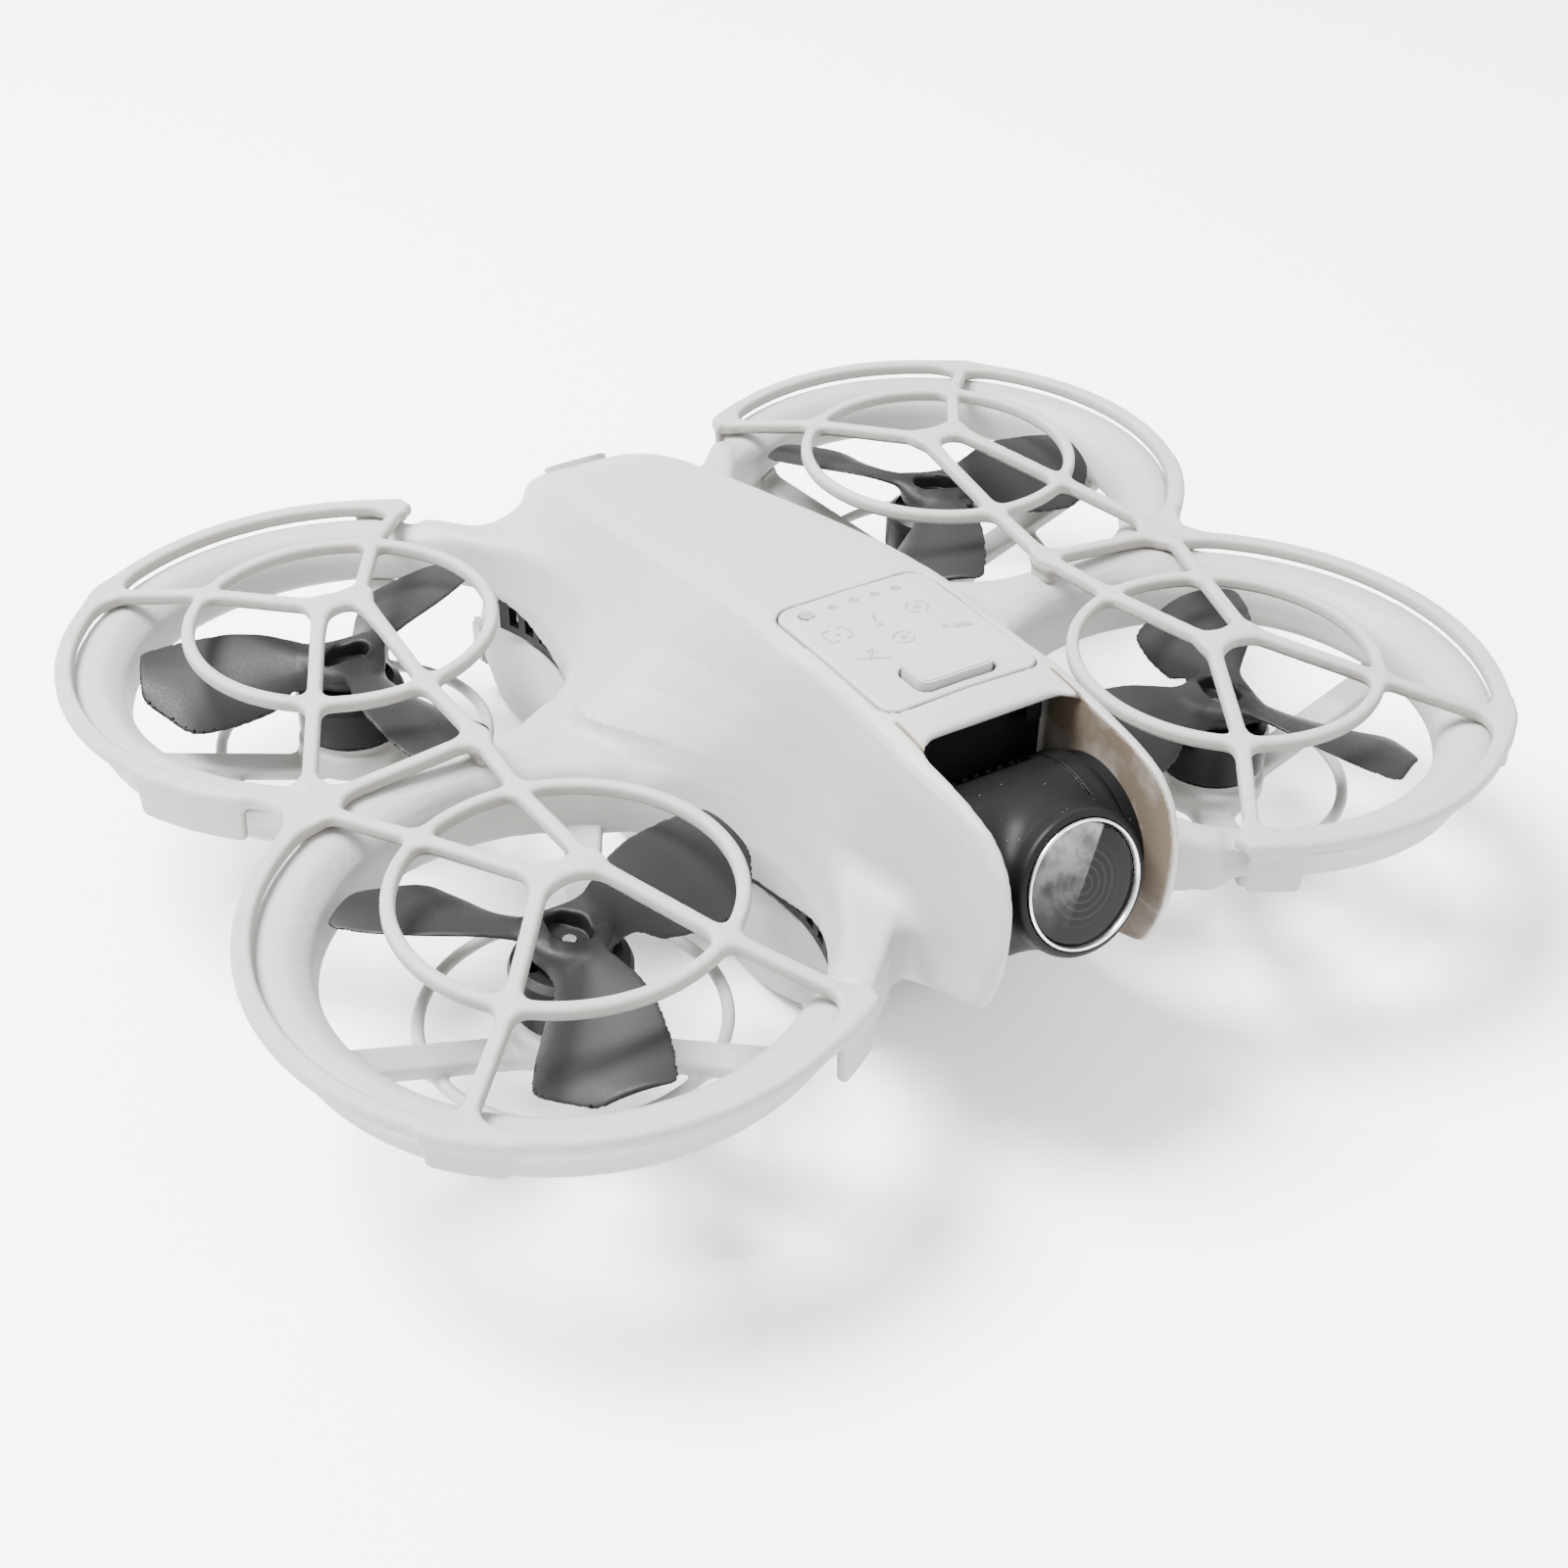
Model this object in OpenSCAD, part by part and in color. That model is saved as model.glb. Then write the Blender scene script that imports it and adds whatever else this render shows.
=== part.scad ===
// Palm-sized ducted quadcopter with a tilting camera between two nose ears.
// Nose points to -Y, roof to +Z, underside on z = 0. Millimetres.

/* [Overall] */
// Distance of each rotor axis from the middle, sideways
motor_x = 44.3; // [43:0.1:46]
// Distance of each rotor axis from the middle, lengthways
motor_y = 30.4; // [29.5:0.1:32]
// Wall of the moulded shells
wall = 1.4; // [1:0.1:2]
// Gap between parts that move past each other
gap = 0.3; // [0.2:0.05:0.5]

/* [Ducts] */
// Radius of each duct's throat
throat_r = 26.5; // [26:0.1:28]
// Outer radius at the top of each duct
duct_r = 32.9; // [32:0.1:33]
// Height of the duct tops
duct_top = 28.4; // [27:0.1:29]
// Height of the duct bottoms
duct_bottom = 20.6; // [19:0.1:22]
// Height of the duct walls' bottoms beside the body
flank_bottom = 16.6; // [15:0.1:18]

/* [Guards] */
// Middle radius of the guard rim
rim_r = 33.25; // [33:0.05:34]
// Height of the middle of the guard rim
rim_z = 29.75; // [29:0.05:31]
// Middle radius of the guard's inner ring
eye_r = 18.3; // [16:0.1:20]
// Height of the inner ring
eye_z = 32.5; // [31:0.1:34]
// Height of the guard's middle above each rotor
crown_z = 35.2; // [34:0.1:37]
// Radius of the guard bars
bar_r = 1.0; // [0.8:0.05:1.2]

/* [Rotors] */
// Propeller radius
prop_r = 25; // [22:0.1:25.5]
// Height of the propeller hub's top
hub_top = 27.4; // [26:0.1:28]
// Motor radius
bell_r = 6.75; // [6:0.05:8]
// Motor shaft radius
shaft_r = 0.75; // [0.5:0.05:1]
// Blade root angle in degrees
pitch_root = 30; // [20:1:45]
// Blade tip angle in degrees
pitch_tip = 13; // [8:1:20]

// How far the front left propeller is turned as built, degrees
turn_fl = 88; // [0:1:120]
// How far the front right propeller is turned as built, degrees
turn_fr = 76; // [0:1:120]
// How far the rear left propeller is turned as built, degrees
turn_rl = 34; // [0:1:120]
// How far the rear right propeller is turned as built, degrees
turn_rr = 11; // [0:1:120]

/* [Camera] */
// Lengthways place of the tilt axis
tilt_y = -48.5; // [-50:0.1:-47]
// Height of the tilt axis
tilt_z = 32; // [30:0.1:34]
// Upward tilt of the lens as built, degrees
tilt_rest = 17.9; // [0:0.1:30]
// Radius of the camera drum
drum_r = 9.6; // [8:0.1:10]
// Half of the room between the two ears
bay_half = 10.1; // [9.5:0.1:11]

/* [Battery] */
// Half width of the battery
pack_half = 15.5; // [14:0.1:16]
// Length of the battery inside its bay
pack_len = 53; // [40:1:55]

/* [Hidden] */
$fn = 96;
eps = 0.02;
bar_fn = 10;
roof = 48.4;
split_z = 16.7;
bay_back = -38.2;
seat_z = 16.6;
rear_face = 50;
power_tilt = 31;
bay_roof = 46.1;
back_half = 9.9;
back_low = 18.8;
back_high = 26.6;
web_z = 21.6;

// Which sub-part to show

white = [0.86, 0.85, 0.83];
dark = [0.20, 0.20, 0.22];
black = [0.07, 0.07, 0.08];
steel = [0.75, 0.76, 0.78];

// ---- placing and small helpers ----

// A corner is drawn front left and mirrored to the others.
module corner(sx, sy) {
    mirror([sx < 0 ? 1 : 0, 0, 0])
        mirror([0, sy > 0 ? 1 : 0, 0])
            translate([motor_x, -motor_y, 0])
                children();
}

module both_sides() {
    children();
    mirror([1, 0, 0]) children();
}

module rod(a, b, r) {
    d = b - a;
    l = norm(d);
    translate(a)
        rotate([0, acos(d[2] / l), atan2(d[1], d[0])])
            rotate([0, 0, 7]) cylinder(r = r, h = l, $fn = bar_fn);
}

module joint_ball(p, r) {
    translate(p) sphere(r = r + 0.06, $fn = bar_fn + 2);
}

module pill(lx, ly, r, h) {
    for (sx = [-1, 1])
        for (sy = [-1, 1])
            translate([sx * (lx / 2 - r), sy * (ly / 2 - r), 0])
                cylinder(r = r, h = h, $fn = 48);
    translate([-lx / 2 + r, -ly / 2, 0]) cube([lx - 2 * r, ly, h]);
    if (ly > 2 * r + 0.01)
        translate([-lx / 2, -ly / 2 + r, 0]) cube([lx, ly - 2 * r, h]);
}

// Skin through equal-length sections [x, z], one at each y.
module loft(ys, secs) {
    n = len(secs[0]);
    m = len(ys);
    pts = [for (i = [0 : m - 1]) for (p = secs[i]) [p[0], ys[i], p[1]]];
    side = [for (i = [0 : m - 2]) for (j = [0 : n - 1])
        let (a = i * n + j, b = i * n + (j + 1) % n)
            each [[a, b + n, b], [a, a + n, b + n]]];
    front = [[for (j = [0 : n - 1]) j]];
    back = [[for (j = [n - 1 : -1 : 0]) (m - 1) * n + j]];
    polyhedron(points = pts, faces = concat(front, side, back), convexity = 6);
}

// Turns a half outline, top middle to bottom outside, into a whole section.
function whole(h) = concat(
    [for (i = [0 : len(h) - 1]) h[i]],
    [for (i = [len(h) - 1 : -1 : 1]) [-h[i][0], h[i][1]]]);

// ---- body outline ----

function roof_mid(y) = lookup(y, [[-63, 45.4], [-55, 46.1], [-45, 47.0], [-38, 47.55], [-14, 46.95],
    [-6, 46.0], [11, 42.9], [25, 40.2], [38, 37.4], [45, 35.7], [50.6, 33.6], [59, 28.7],
    [62.4, 25.2], [63.4, 21.5]]);
function crease_w(y) = lookup(y, [[-63, 10.8], [-55, 11.8], [-45, 12.4], [-14, 12.7], [0, 12.6],
    [11, 12.2], [30, 11.2], [42, 10.4], [50, 9.2], [58, 7.2], [63.4, 4]]);
function crease_z(y) = lookup(y, [[-63, 43.4], [-53, 44.5], [-39, 45.7], [-18.6, 45.7], [-6, 44.1],
    [11, 40.8], [26, 37.6], [42, 34.3], [50, 31.2], [58, 26.4], [63.4, 20.4]]);
function side_w(y) = lookup(y, [[-63, 11.6], [-56, 12.3], [-48, 12.8], [-42, 14.4], [-36, 16.6],
    [-30, 17.2], [-22, 18.6], [-12, 22], [-5, 27], [0, 31.6], [5, 27], [12, 22], [22, 18.6],
    [30, 17.2], [40, 17], [47, 16.6], [52, 15.2], [58, 12.2], [62, 8], [63.4, 5.5]]);
function side_z(y) = lookup(y, [[-63, 28], [-50, 27.6], [-36, 28.8], [0, 29.2], [36, 28.8],
    [47, 27.5], [58, 22.5], [63.4, 18.6]]);
function base_w(y) = lookup(y, [[-63, 11.2], [-50, 12], [-38, 15], [-30, 16.4], [0, 27], [30, 16.4],
    [47, 15.6], [58, 11.6], [63.4, 5]]);
// Room between the ducts' outer walls
function waist(y) = motor_x - sqrt(max(1, pow(duct_r + wall, 2) - pow(abs(y) - motor_y, 2)));

function outer_half(y, dz = 0) = [
    [0, roof_mid(y) + dz],
    [0.72 * crease_w(y), roof_mid(y) - 0.10 * (roof_mid(y) - crease_z(y)) + dz],
    [0.93 * crease_w(y), roof_mid(y) - 0.48 * (roof_mid(y) - crease_z(y)) + dz],
    [crease_w(y), crease_z(y) - 0.3 + dz],
    [crease_w(y) + 0.34 * (side_w(y) - crease_w(y)), crease_z(y) + 0.5 * (side_z(y) - crease_z(y)) + dz],
    [side_w(y), side_z(y) + dz],
    [base_w(y), split_z - 0.8 + dz]
];

function cavity_half(y) = [
    [0, roof_mid(y) - wall],
    [0.72 * crease_w(y) - 0.6, roof_mid(y) - wall - 0.2],
    [crease_w(y) - 1.9, crease_z(y) - 1.3],
    [min(crease_w(y) - 1.5, waist(y)), 0.5 * (crease_z(y) + side_z(y)) - 0.5],
    [min(base_w(y) - 1.6, waist(y)), side_z(y) - 2.2],
    [min(base_w(y) - 1.6, waist(y)), split_z - 2]
];

pod_ys = [-63, -61, -58, -54, -49, -45, -42, -38, -34, -30, -26, -22, -18, -14, -10, -6, -3, 0, 3, 6,
    10, 14, 18, 22, 26, 30, 34, 38, 42, 45, 48, 50.5, 53, 56, 59, 61, 62.4, 63.2];
cavity_ys = [-36.2, -32, -28, -24, -20, -16, -12, -8, -4, 0, 4, 8, 12, 16, 20, 24, 28, 32, 36, 40, 44, 48, 51];

module pod_skin(dz = 0) {
    loft(pod_ys, [for (y = pod_ys) whole(outer_half(y, dz))]);
}

// Side view of the ears and of the shell's lower edge
module side_outline() {
    translate([40, 0, 0])
        rotate([90, 0, -90])
            linear_extrude(height = 80)
                polygon([[39.2, split_z], [46.5, 18.6], [54.8, 21.1], [57.1, 21.9], [58.4, 22.6], [59.3, 24.1],
                    [60.2, 26.4], [60.8, 28.6], [61.4, 31.5], [61.7, 34.8], [61.6, 37.2], [61.1, 39.4],
                    [60.2, 41.6], [58.8, 43.3], [57, 44.7], [54.9, 45.6], [52, 47], [45, 50], [-64, 50],
                    [-64, split_z]]);
}

// Everything inside a duct's outer wall
module duct_space(extra = 0) {
    rotate_extrude()
        polygon([[0, 5], [29.8 + extra, 5], [29.8 + extra, flank_bottom], [30.3 + extra, 20], [31.5 + extra, 25.6],
            [duct_r + extra, duct_top - 0.5], [duct_r + extra, duct_top + extra], [throat_r + 1.6, duct_top + extra],
            [throat_r + 2.6, duct_top + 3.4], [throat_r + 8, duct_top + 30], [0, duct_top + 30]]);
}

module shoulder_webs() {
    both_sides() {
        translate([0, 0, web_z])
            linear_extrude(height = duct_top - web_z)
                polygon([[10, -34], [10, -47.5], [13, -48.6], [17, -49.6], [20.5, -52], [23.5, -54.2],
                    [30, -50], [22, -34]]);
        translate([0, 0, web_z])
            linear_extrude(height = duct_top - web_z)
                polygon([[10, 34], [10, 51], [14.4, 50.2], [16.3, 47.6], [19, 49], [23.5, 54.2], [30, 50], [22, 34]]);
    }
}

module panel_cut(grow, bottom, top) {
    translate([0, -25.9, bottom])
        pill(20 + 2 * grow, 23.8 + 2 * grow, 2.2 + grow, top - bottom);
}

module power_place() {
    translate([0, 54.6, 31.1])
        rotate([-power_tilt, 0, 0])
            children();
}

module upper_shell() {
    $fn = 64;
    color(white) resize([0, 0, 0]) difference() {
        union() {
            intersection() {
                pod_skin();
                side_outline();
            }
            shoulder_webs();
        }
        loft(cavity_ys, [for (y = cavity_ys) whole(cavity_half(y))]);
        for (sx = [-1, 1])
            for (sy = [-1, 1])
                corner(sx, sy) duct_space(0.06, $fn = 96);
        // camera bay, its open top and its open front
        translate([-bay_half, -70, 10])
            cube([2 * bay_half, 70 + bay_back, bay_roof - 10]);
        translate([0, -62.7, 30])
            pill(2 * bay_half, 40, 3, 30);
        // seat of the wall behind the camera
        translate([-back_half - eps, -39, back_low - eps]) cube([2 * (back_half + eps), 5, back_high + 2 * eps]);
        panel_cut(0.12, 44.4, 60);
        power_place() translate([0, 0, -6]) cylinder(r = 4.7, h = 12);
        // pin hole in the right ear
        translate([-bay_half - 1.5, tilt_y, tilt_z]) rotate([0, 90, 0]) cylinder(r = 1.2, h = 3);
        // room for the charging socket
        translate([-5.2, 50, 17.6]) cube([10.4, 20, 4.2]);
    }
}

// ---- lower body ----

function keel_z(y) = lookup(y, [[-38, 9.6], [-36, 6.4], [-33, 3.4], [-29, 1.2], [-25, 0.25], [-22, 0], [49, 0],
    [53, 0.9], [56, 2.6], [58.4, 5.2]]);
function keel_w(y) = lookup(y, [[-38, 7], [-35, 9.5], [-30, 12], [-24, 13.6], [-10, 14.2], [50, 14.2],
    [55, 12.6], [58.4, 10]]);
function hip_w(y) = lookup(y, [[-38, 11.6], [-35, 14.2], [-30, 16.4], [-22, 17.8], [-8, 18.2], [48, 18.2],
    [53, 17.2], [56, 15.6], [58.4, 13.2]]);
function rim_w(y) = lookup(y, [[-38, 12.4], [-34, 14.6], [-30, 16], [0, 17.2], [46, 16.4], [53, 15], [58.4, 12]]);

function tub_half(y, top) = [
    [0, top],
    [rim_w(y), top],
    [0.5 * (rim_w(y) + hip_w(y)) + 0.3, 13.6],
    [hip_w(y), max(keel_z(y) + 2, 10.2)],
    [hip_w(y) - 0.3, max(keel_z(y) + 1.6, 6.8)],
    [hip_w(y) - 1.3, max(keel_z(y) + 1.1, 3.6)],
    [0.5 * (keel_w(y) + hip_w(y)) + 0.2, keel_z(y) + 0.9],
    [keel_w(y), keel_z(y)]
];

tub_ys = [-38, -36, -33, -29, -25, -22, -14, -5, 8, 20, 34, 46, rear_face];
cap_ys = [rear_face + gap, 53, 55, 57, 58.4];

module lower_shell() {
    $fn = 48;
    color(white) resize([0, 0, 0]) difference() {
        loft(tub_ys, [for (y = tub_ys) whole(tub_half(y, split_z - eps))]);
        // battery bay
        translate([-pack_half - gap, -4, wall]) cube([2 * (pack_half + gap), 80, 20]);
        // electronics well and the window for the battery contacts
        translate([-10.6, -28, 1.6]) cube([21.2, 22, 20]);
        translate([-10.6, -33.4, 5]) cube([21.2, 6, 20]);
        translate([-10.42, -7, 7.08]) cube([20.84, 4, 7.04]);
        for (sx = [-1, 1])
            for (sy = [-1, 1])
                corner(sx, sy) spider_room();
        // sensor windows
        translate([0, -24, -1]) cylinder(r = 4.05, h = 12);
        translate([0, -12.5, -1]) pill(13.1, 6.1, 3.05, 12);
        screw_places() {
            translate([0, 0, -1]) cylinder(r = 0.95, h = 30, $fn = 48);
            translate([0, 0, -1]) cylinder(r = 1.75, h = 2.3, $fn = 48);
        }
        // cooling slots under the nose
        for (i = [-2 : 2])
            translate([i * 3.2, -30.4, -1]) pill(1.4, 3.6, 0.7, 10);
    }
}

module screw_places() {
    for (sx = [-1, 1])
        for (y = [-27.5, -8])
            translate([sx * 11.8, y, 0]) children();
}

module shell_screws() {
    color(steel) screw_places() difference() {
        union() {
            translate([0, 0, 0.35]) cylinder(r = 1.6, h = 0.95, $fn = 48);
            translate([0, 0, 1]) cylinder(r = 0.9, h = 13, $fn = 48);
        }
        translate([0, 0, 0.1]) cylinder(r = 0.75, h = 0.8, $fn = 6);
    }
}

// ---- ducts ----

// Flared inlet, from the crest down to the throat
lip = 8;
lip_wide = 4.5;
lip_high = 5;
function inlet() = [for (i = [0 : lip])
    [throat_r + lip_wide * (1 - cos(90 * i / lip)), duct_top - lip_high * (1 - sin(90 * i / lip))]];

module duct_ring() {
    rotate_extrude()
        polygon(concat([[throat_r + 0.5, duct_bottom], [throat_r, duct_bottom + 1.4]], inlet(),
            [[duct_r, duct_top], [duct_r, duct_top - 0.5], [duct_r - 0.8, 26.8], [throat_r + 1.7, duct_bottom]]));
}

// Deeper wall beside the body
module duct_flank() {
    rotate([0, 0, 136]) rotate_extrude(angle = 88)
        polygon([[throat_r + 0.8, flank_bottom], [throat_r + 0.3, flank_bottom + 2.4], [throat_r + 0.3, 22.5],
            [29.5, 26], [31.5, 26.2], [31.5, 25.6], [30.3, 20], [29.8, flank_bottom]]);
}

module duct() {
    difference() {
        union() {
            duct_ring();
            duct_flank();
            // web between the two ducts of a side, outside their meeting line
            translate([0, 0, web_z])
                linear_extrude(height = duct_top - web_z)
                    polygon([[11, motor_y - 4], [12, motor_y + 1], [17, motor_y + 1], [16.7, motor_y - 1.6],
                        [15.8, motor_y - 3], [15.2, motor_y - 5.4]]);
        }
        translate([-60, motor_y - 0.01, 0]) cube([120, 60, 60]);
        // arch on the side of the body
        translate([-36, 0, flank_bottom + 0.4]) rotate([0, 90, 0]) pill(13.4, 27, 3, 14);
        cylinder(r = throat_r - 0.01, h = 60);
    }
}

module duct_fl() { color(white) corner(1, -1) duct(); }
module duct_fr() { color(white) corner(-1, -1) duct(); }
module duct_rl() { color(white) corner(1, 1) duct(); }
module duct_rr() { color(white) corner(-1, 1) duct(); }

// Three bars that rise from a cup under the motor to the duct, with a wire ring round it
bar_angles = [0, 120, 240];
bar_wide = 4.2;
cup_z = 12.6;
ring_z = 15.2;
module spider_room() {
    for (a = bar_angles)
        rotate([0, 0, a]) translate([0, -2.4, 14]) cube([30.6, 4.8, 6]);
    cylinder(r = 18, h = 60);
}

module spider() {
    difference() {
        union() {
            translate([0, 0, cup_z]) cylinder(r = 7.2, h = seat_z - cup_z);
            for (a = bar_angles)
                rotate([0, 0, a]) {
                    translate([0, bar_wide / 2, 0]) rotate([90, 0, 0]) linear_extrude(height = bar_wide)
                        polygon([[6.4, cup_z], [8, cup_z], [26.6, duct_bottom - 2], [28.6, duct_bottom - 2],
                            [28.6, duct_bottom - eps], [25.8, duct_bottom - eps], [7.6, cup_z + 2]]);
                    translate([15.6, -2.6, ring_z - 0.4]) cube([2.2, 5.2, 1.8]);
                }
            translate([0, 0, ring_z])
                rotate_extrude()
                    translate([16.7, 0]) circle(r = 0.75, $fn = 24);
        }
        translate([0, 0, cup_z - 1]) cylinder(r = 6, h = seat_z - 2.6 - cup_z + 1);
        translate([0, 0, 5]) cylinder(r = 2.1, h = 20);
        for (a = [45 : 90 : 315])
            rotate([0, 0, a]) translate([4.4, 0, 5]) cylinder(r = 0.6, h = 20, $fn = 32);
    }
}

module spider_fl() { color(white) corner(1, -1) spider(); }
module spider_fr() { color(white) corner(-1, -1) spider(); }
module spider_rl() { color(white) corner(1, 1) spider(); }
module spider_rr() { color(white) corner(-1, 1) spider(); }

// Slatted grille in a duct's arch, next to the body
module vent() {
    difference() {
        rotate([0, 0, 156])
            rotate_extrude(angle = 48)
                translate([28.2, 17.2]) square([1.3, 5.4]);
        for (i = [-3 : 3])
            rotate([0, 0, 180 + i * 6.2]) translate([26, -0.85, 18.3]) cube([6, 1.7, 3.2]);
    }
}

module vent_left() {
    color(dark) {
        corner(1, -1) vent();
        corner(1, 1) vent();
    }
}
module vent_right() {
    color(dark) {
        corner(-1, -1) vent();
        corner(-1, 1) vent();
    }
}

// ---- propeller guards ----

// Points in the left guard, x y z
rail = [[40.9, -11.8, eye_z], [40.2, 0, 31.9], [40.1, 12.4, eye_z]];
mid_out = [60.9, 0, rim_z];

module guard_spoke(c, dir, tip) {
    knee = [c[0] + eye_r * cos(dir), c[1] + eye_r * sin(dir), eye_z];
    rod(c, knee, bar_r);
    joint_ball(knee, bar_r);
    rod(knee, tip, bar_r);
    joint_ball(tip, bar_r);
}

module guard_clip(a, w, depth) {
    rotate([0, 0, a - w / 2])
        rotate_extrude(angle = w, $fn = 64)
            translate([rim_r + 0.02, rim_z - depth]) square([0.94, depth]);
    rotate([0, 0, a - w / 5])
        rotate_extrude(angle = w / 2.5, $fn = 64)
            translate([rim_r + 0.07, rim_z - depth - 1.6]) square([0.83, 2.3]);
}

module rim_arc(from, to) {
    rotate([0, 0, from])
        rotate_extrude(angle = to - from, $fn = 64)
            polygon([[rim_r - 0.9, rim_z - 0.5], [rim_r - 0.4, rim_z - 1], [rim_r + 1, rim_z - 1],
                [rim_r + 1, rim_z + 0.3], [rim_r + 0.5, rim_z + 0.9], [rim_r - 0.4, rim_z + 0.95],
                [rim_r - 0.9, rim_z + 0.4]]);
}

module guard_half(rear) {
    c = [motor_x, -motor_y, crown_z];
    tip_out = rear ? [65.5, -54.3, rim_z] : [66.1, -52.9, rim_z];
    tip_in = rear ? [26.5, -56, rim_z] : [26.1, -56.7, rim_z];
    joint_ball(c, bar_r + 0.9);
    translate([motor_x, -motor_y, eye_z])
        rotate_extrude($fn = 52) translate([eye_r, 0]) circle(r = bar_r - 0.05, $fn = 10);
    guard_spoke(c, atan2(tip_out[1] - c[1], tip_out[0] - c[0]), tip_out);
    guard_spoke(c, atan2(tip_in[1] - c[1], tip_in[0] - c[0]), tip_in);
    guard_spoke(c, 58, mid_out);
    // rail over the meeting line of the ducts
    knee = [c[0] + eye_r * cos(100), c[1] + eye_r * sin(100), eye_z];
    rod(c, knee, bar_r);
    joint_ball(knee, bar_r);
    rod(knee, rail[1], bar_r);
    translate([motor_x, -motor_y, 0]) {
        rim_arc(-125, 62);
        guard_clip(-112, 22, 4.6);
        if (rear)
            guard_clip(37, 24, 4.8);
        else
            guard_clip(-50, 16, 4.6);
    }
}

module guard() {
    resize([0, 0, 0]) union() {
        guard_half(false);
        mirror([0, 1, 0]) guard_half(true);
        rod(rail[1], mid_out, bar_r);
        joint_ball(rail[1], bar_r);
        translate([mid_out[0], 0, rim_z - 0.95]) cylinder(r = 2.1, h = 1.8, $fn = 24);
        translate([rail[1][0], 0, duct_top + gap + 0.1]) cylinder(r = 1.1, h = 3, $fn = 16);
    }
}

module guard_left() { color(white) guard(); }
module guard_right() { color(white) mirror([1, 0, 0]) guard(); }

// ---- top controls ----

light_row = [[-6.9, 0.85], [-3.4, 0.5], [-0.6, 0.5], [2.2, 0.5], [5, 0.5]];
light_y = -16.6;

module control_panel() {
    $fn = 32;
    color(white) resize([0, 0, 0]) difference() {
        intersection() {
            pod_skin();
            panel_cut(0, 40, 60);
        }
        pod_skin(-1.5);
        translate([0, -33.9, 40]) pill(10.3, 5.6, 1.6, 20);
        for (l = light_row)
            translate([l[0], light_y, 40]) cylinder(r = l[1] + eps, h = 20, $fn = 32);
        translate([-20, -60, 0]) cube([40, 60, 44.6]);
    }
}

module status_lights() {
    color([0.93, 0.93, 0.9])
        for (l = light_row)
            translate([l[0], light_y, 45.2]) cylinder(r = l[1], h = roof_mid(light_y) - 45.28, $fn = 32);
}

module mode_button() {
    color(white) translate([0, -33.9, 0]) {
        translate([0, 0, 45.2]) pill(9.6, 5, 1.3, roof - 45.3);
        translate([0, 0, 45.2]) pill(9, 4.4, 1, roof - 45.2);
    }
}

module power_button() {
    color(white) power_place() {
        translate([0, 0, -0.9]) cylinder(r = 4.35, h = 1.5);
        translate([0, 0, -0.9]) cylinder(r = 4.0, h = 1.62);
    }
}

// ---- motors and propellers ----

module motor_base() {
    difference() {
        union() {
            translate([0, 0, seat_z + eps]) cylinder(r = 6.2, h = 0.9);
            translate([0, 0, seat_z + 0.8]) cylinder(r = 1.7, h = 5.4);
            for (i = [0 : 8])
                rotate([0, 0, 40 * i]) {
                    translate([1.2, -0.45, seat_z + 1.6]) cube([3.4, 0.9, 3.6]);
                    translate([4.4, -1.3, seat_z + 1.4]) cube([0.9, 2.6, 4]);
                }
        }
        translate([0, 0, 10]) cylinder(r = shaft_r + 0.05, h = 20, $fn = 64);
        for (a = [45 : 90 : 315])
            rotate([0, 0, a]) translate([4.4, 0, 5]) cylinder(r = 0.5, h = seat_z - 4, $fn = 32);
    }
}

module motor_base_fl() { color(black) corner(1, -1) motor_base(); }
module motor_base_fr() { color(black) corner(-1, -1) motor_base(); }
module motor_base_rl() { color(black) corner(1, 1) motor_base(); }
module motor_base_rr() { color(black) corner(-1, 1) motor_base(); }

bell_bottom = 17.9;
bell_top = 24.2;
module motor_bell() {
    difference() {
        rotate_extrude()
            polygon([[shaft_r, bell_top - 1], [bell_r - 0.9, bell_top - 1], [bell_r - 0.9, bell_bottom],
                [bell_r - 0.2, bell_bottom], [bell_r, bell_bottom + 0.25], [bell_r, bell_top - 1.6],
                [bell_r - 0.35, bell_top - 0.7], [bell_r - 1.2, bell_top - 0.1], [3.2, bell_top],
                [2.6, bell_top + 0.5], [shaft_r, bell_top + 0.5]]);
        for (i = [0 : 5])
            rotate([0, 0, 60 * i]) translate([4.4, 0, bell_top - 2]) cylinder(r = 0.9, h = 4, $fn = 32);
    }
}

module motor_bell_fl() { color(black) corner(1, -1) motor_bell(); }
module motor_bell_fr() { color(black) corner(-1, -1) motor_bell(); }
module motor_bell_rl() { color(black) corner(1, 1) motor_bell(); }
module motor_bell_rr() { color(black) corner(-1, 1) motor_bell(); }

module motor_shaft() {
    translate([0, 0, seat_z + 0.9]) cylinder(r = shaft_r - 0.001, h = hub_top - 2.2 - seat_z, $fn = 64);
}

module motor_shaft_fl() { color(steel) corner(1, -1) motor_shaft(); }
module motor_shaft_fr() { color(steel) corner(-1, -1) motor_shaft(); }
module motor_shaft_rl() { color(steel) corner(1, 1) motor_shaft(); }
module motor_shaft_rr() { color(steel) corner(-1, 1) motor_shaft(); }

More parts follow.
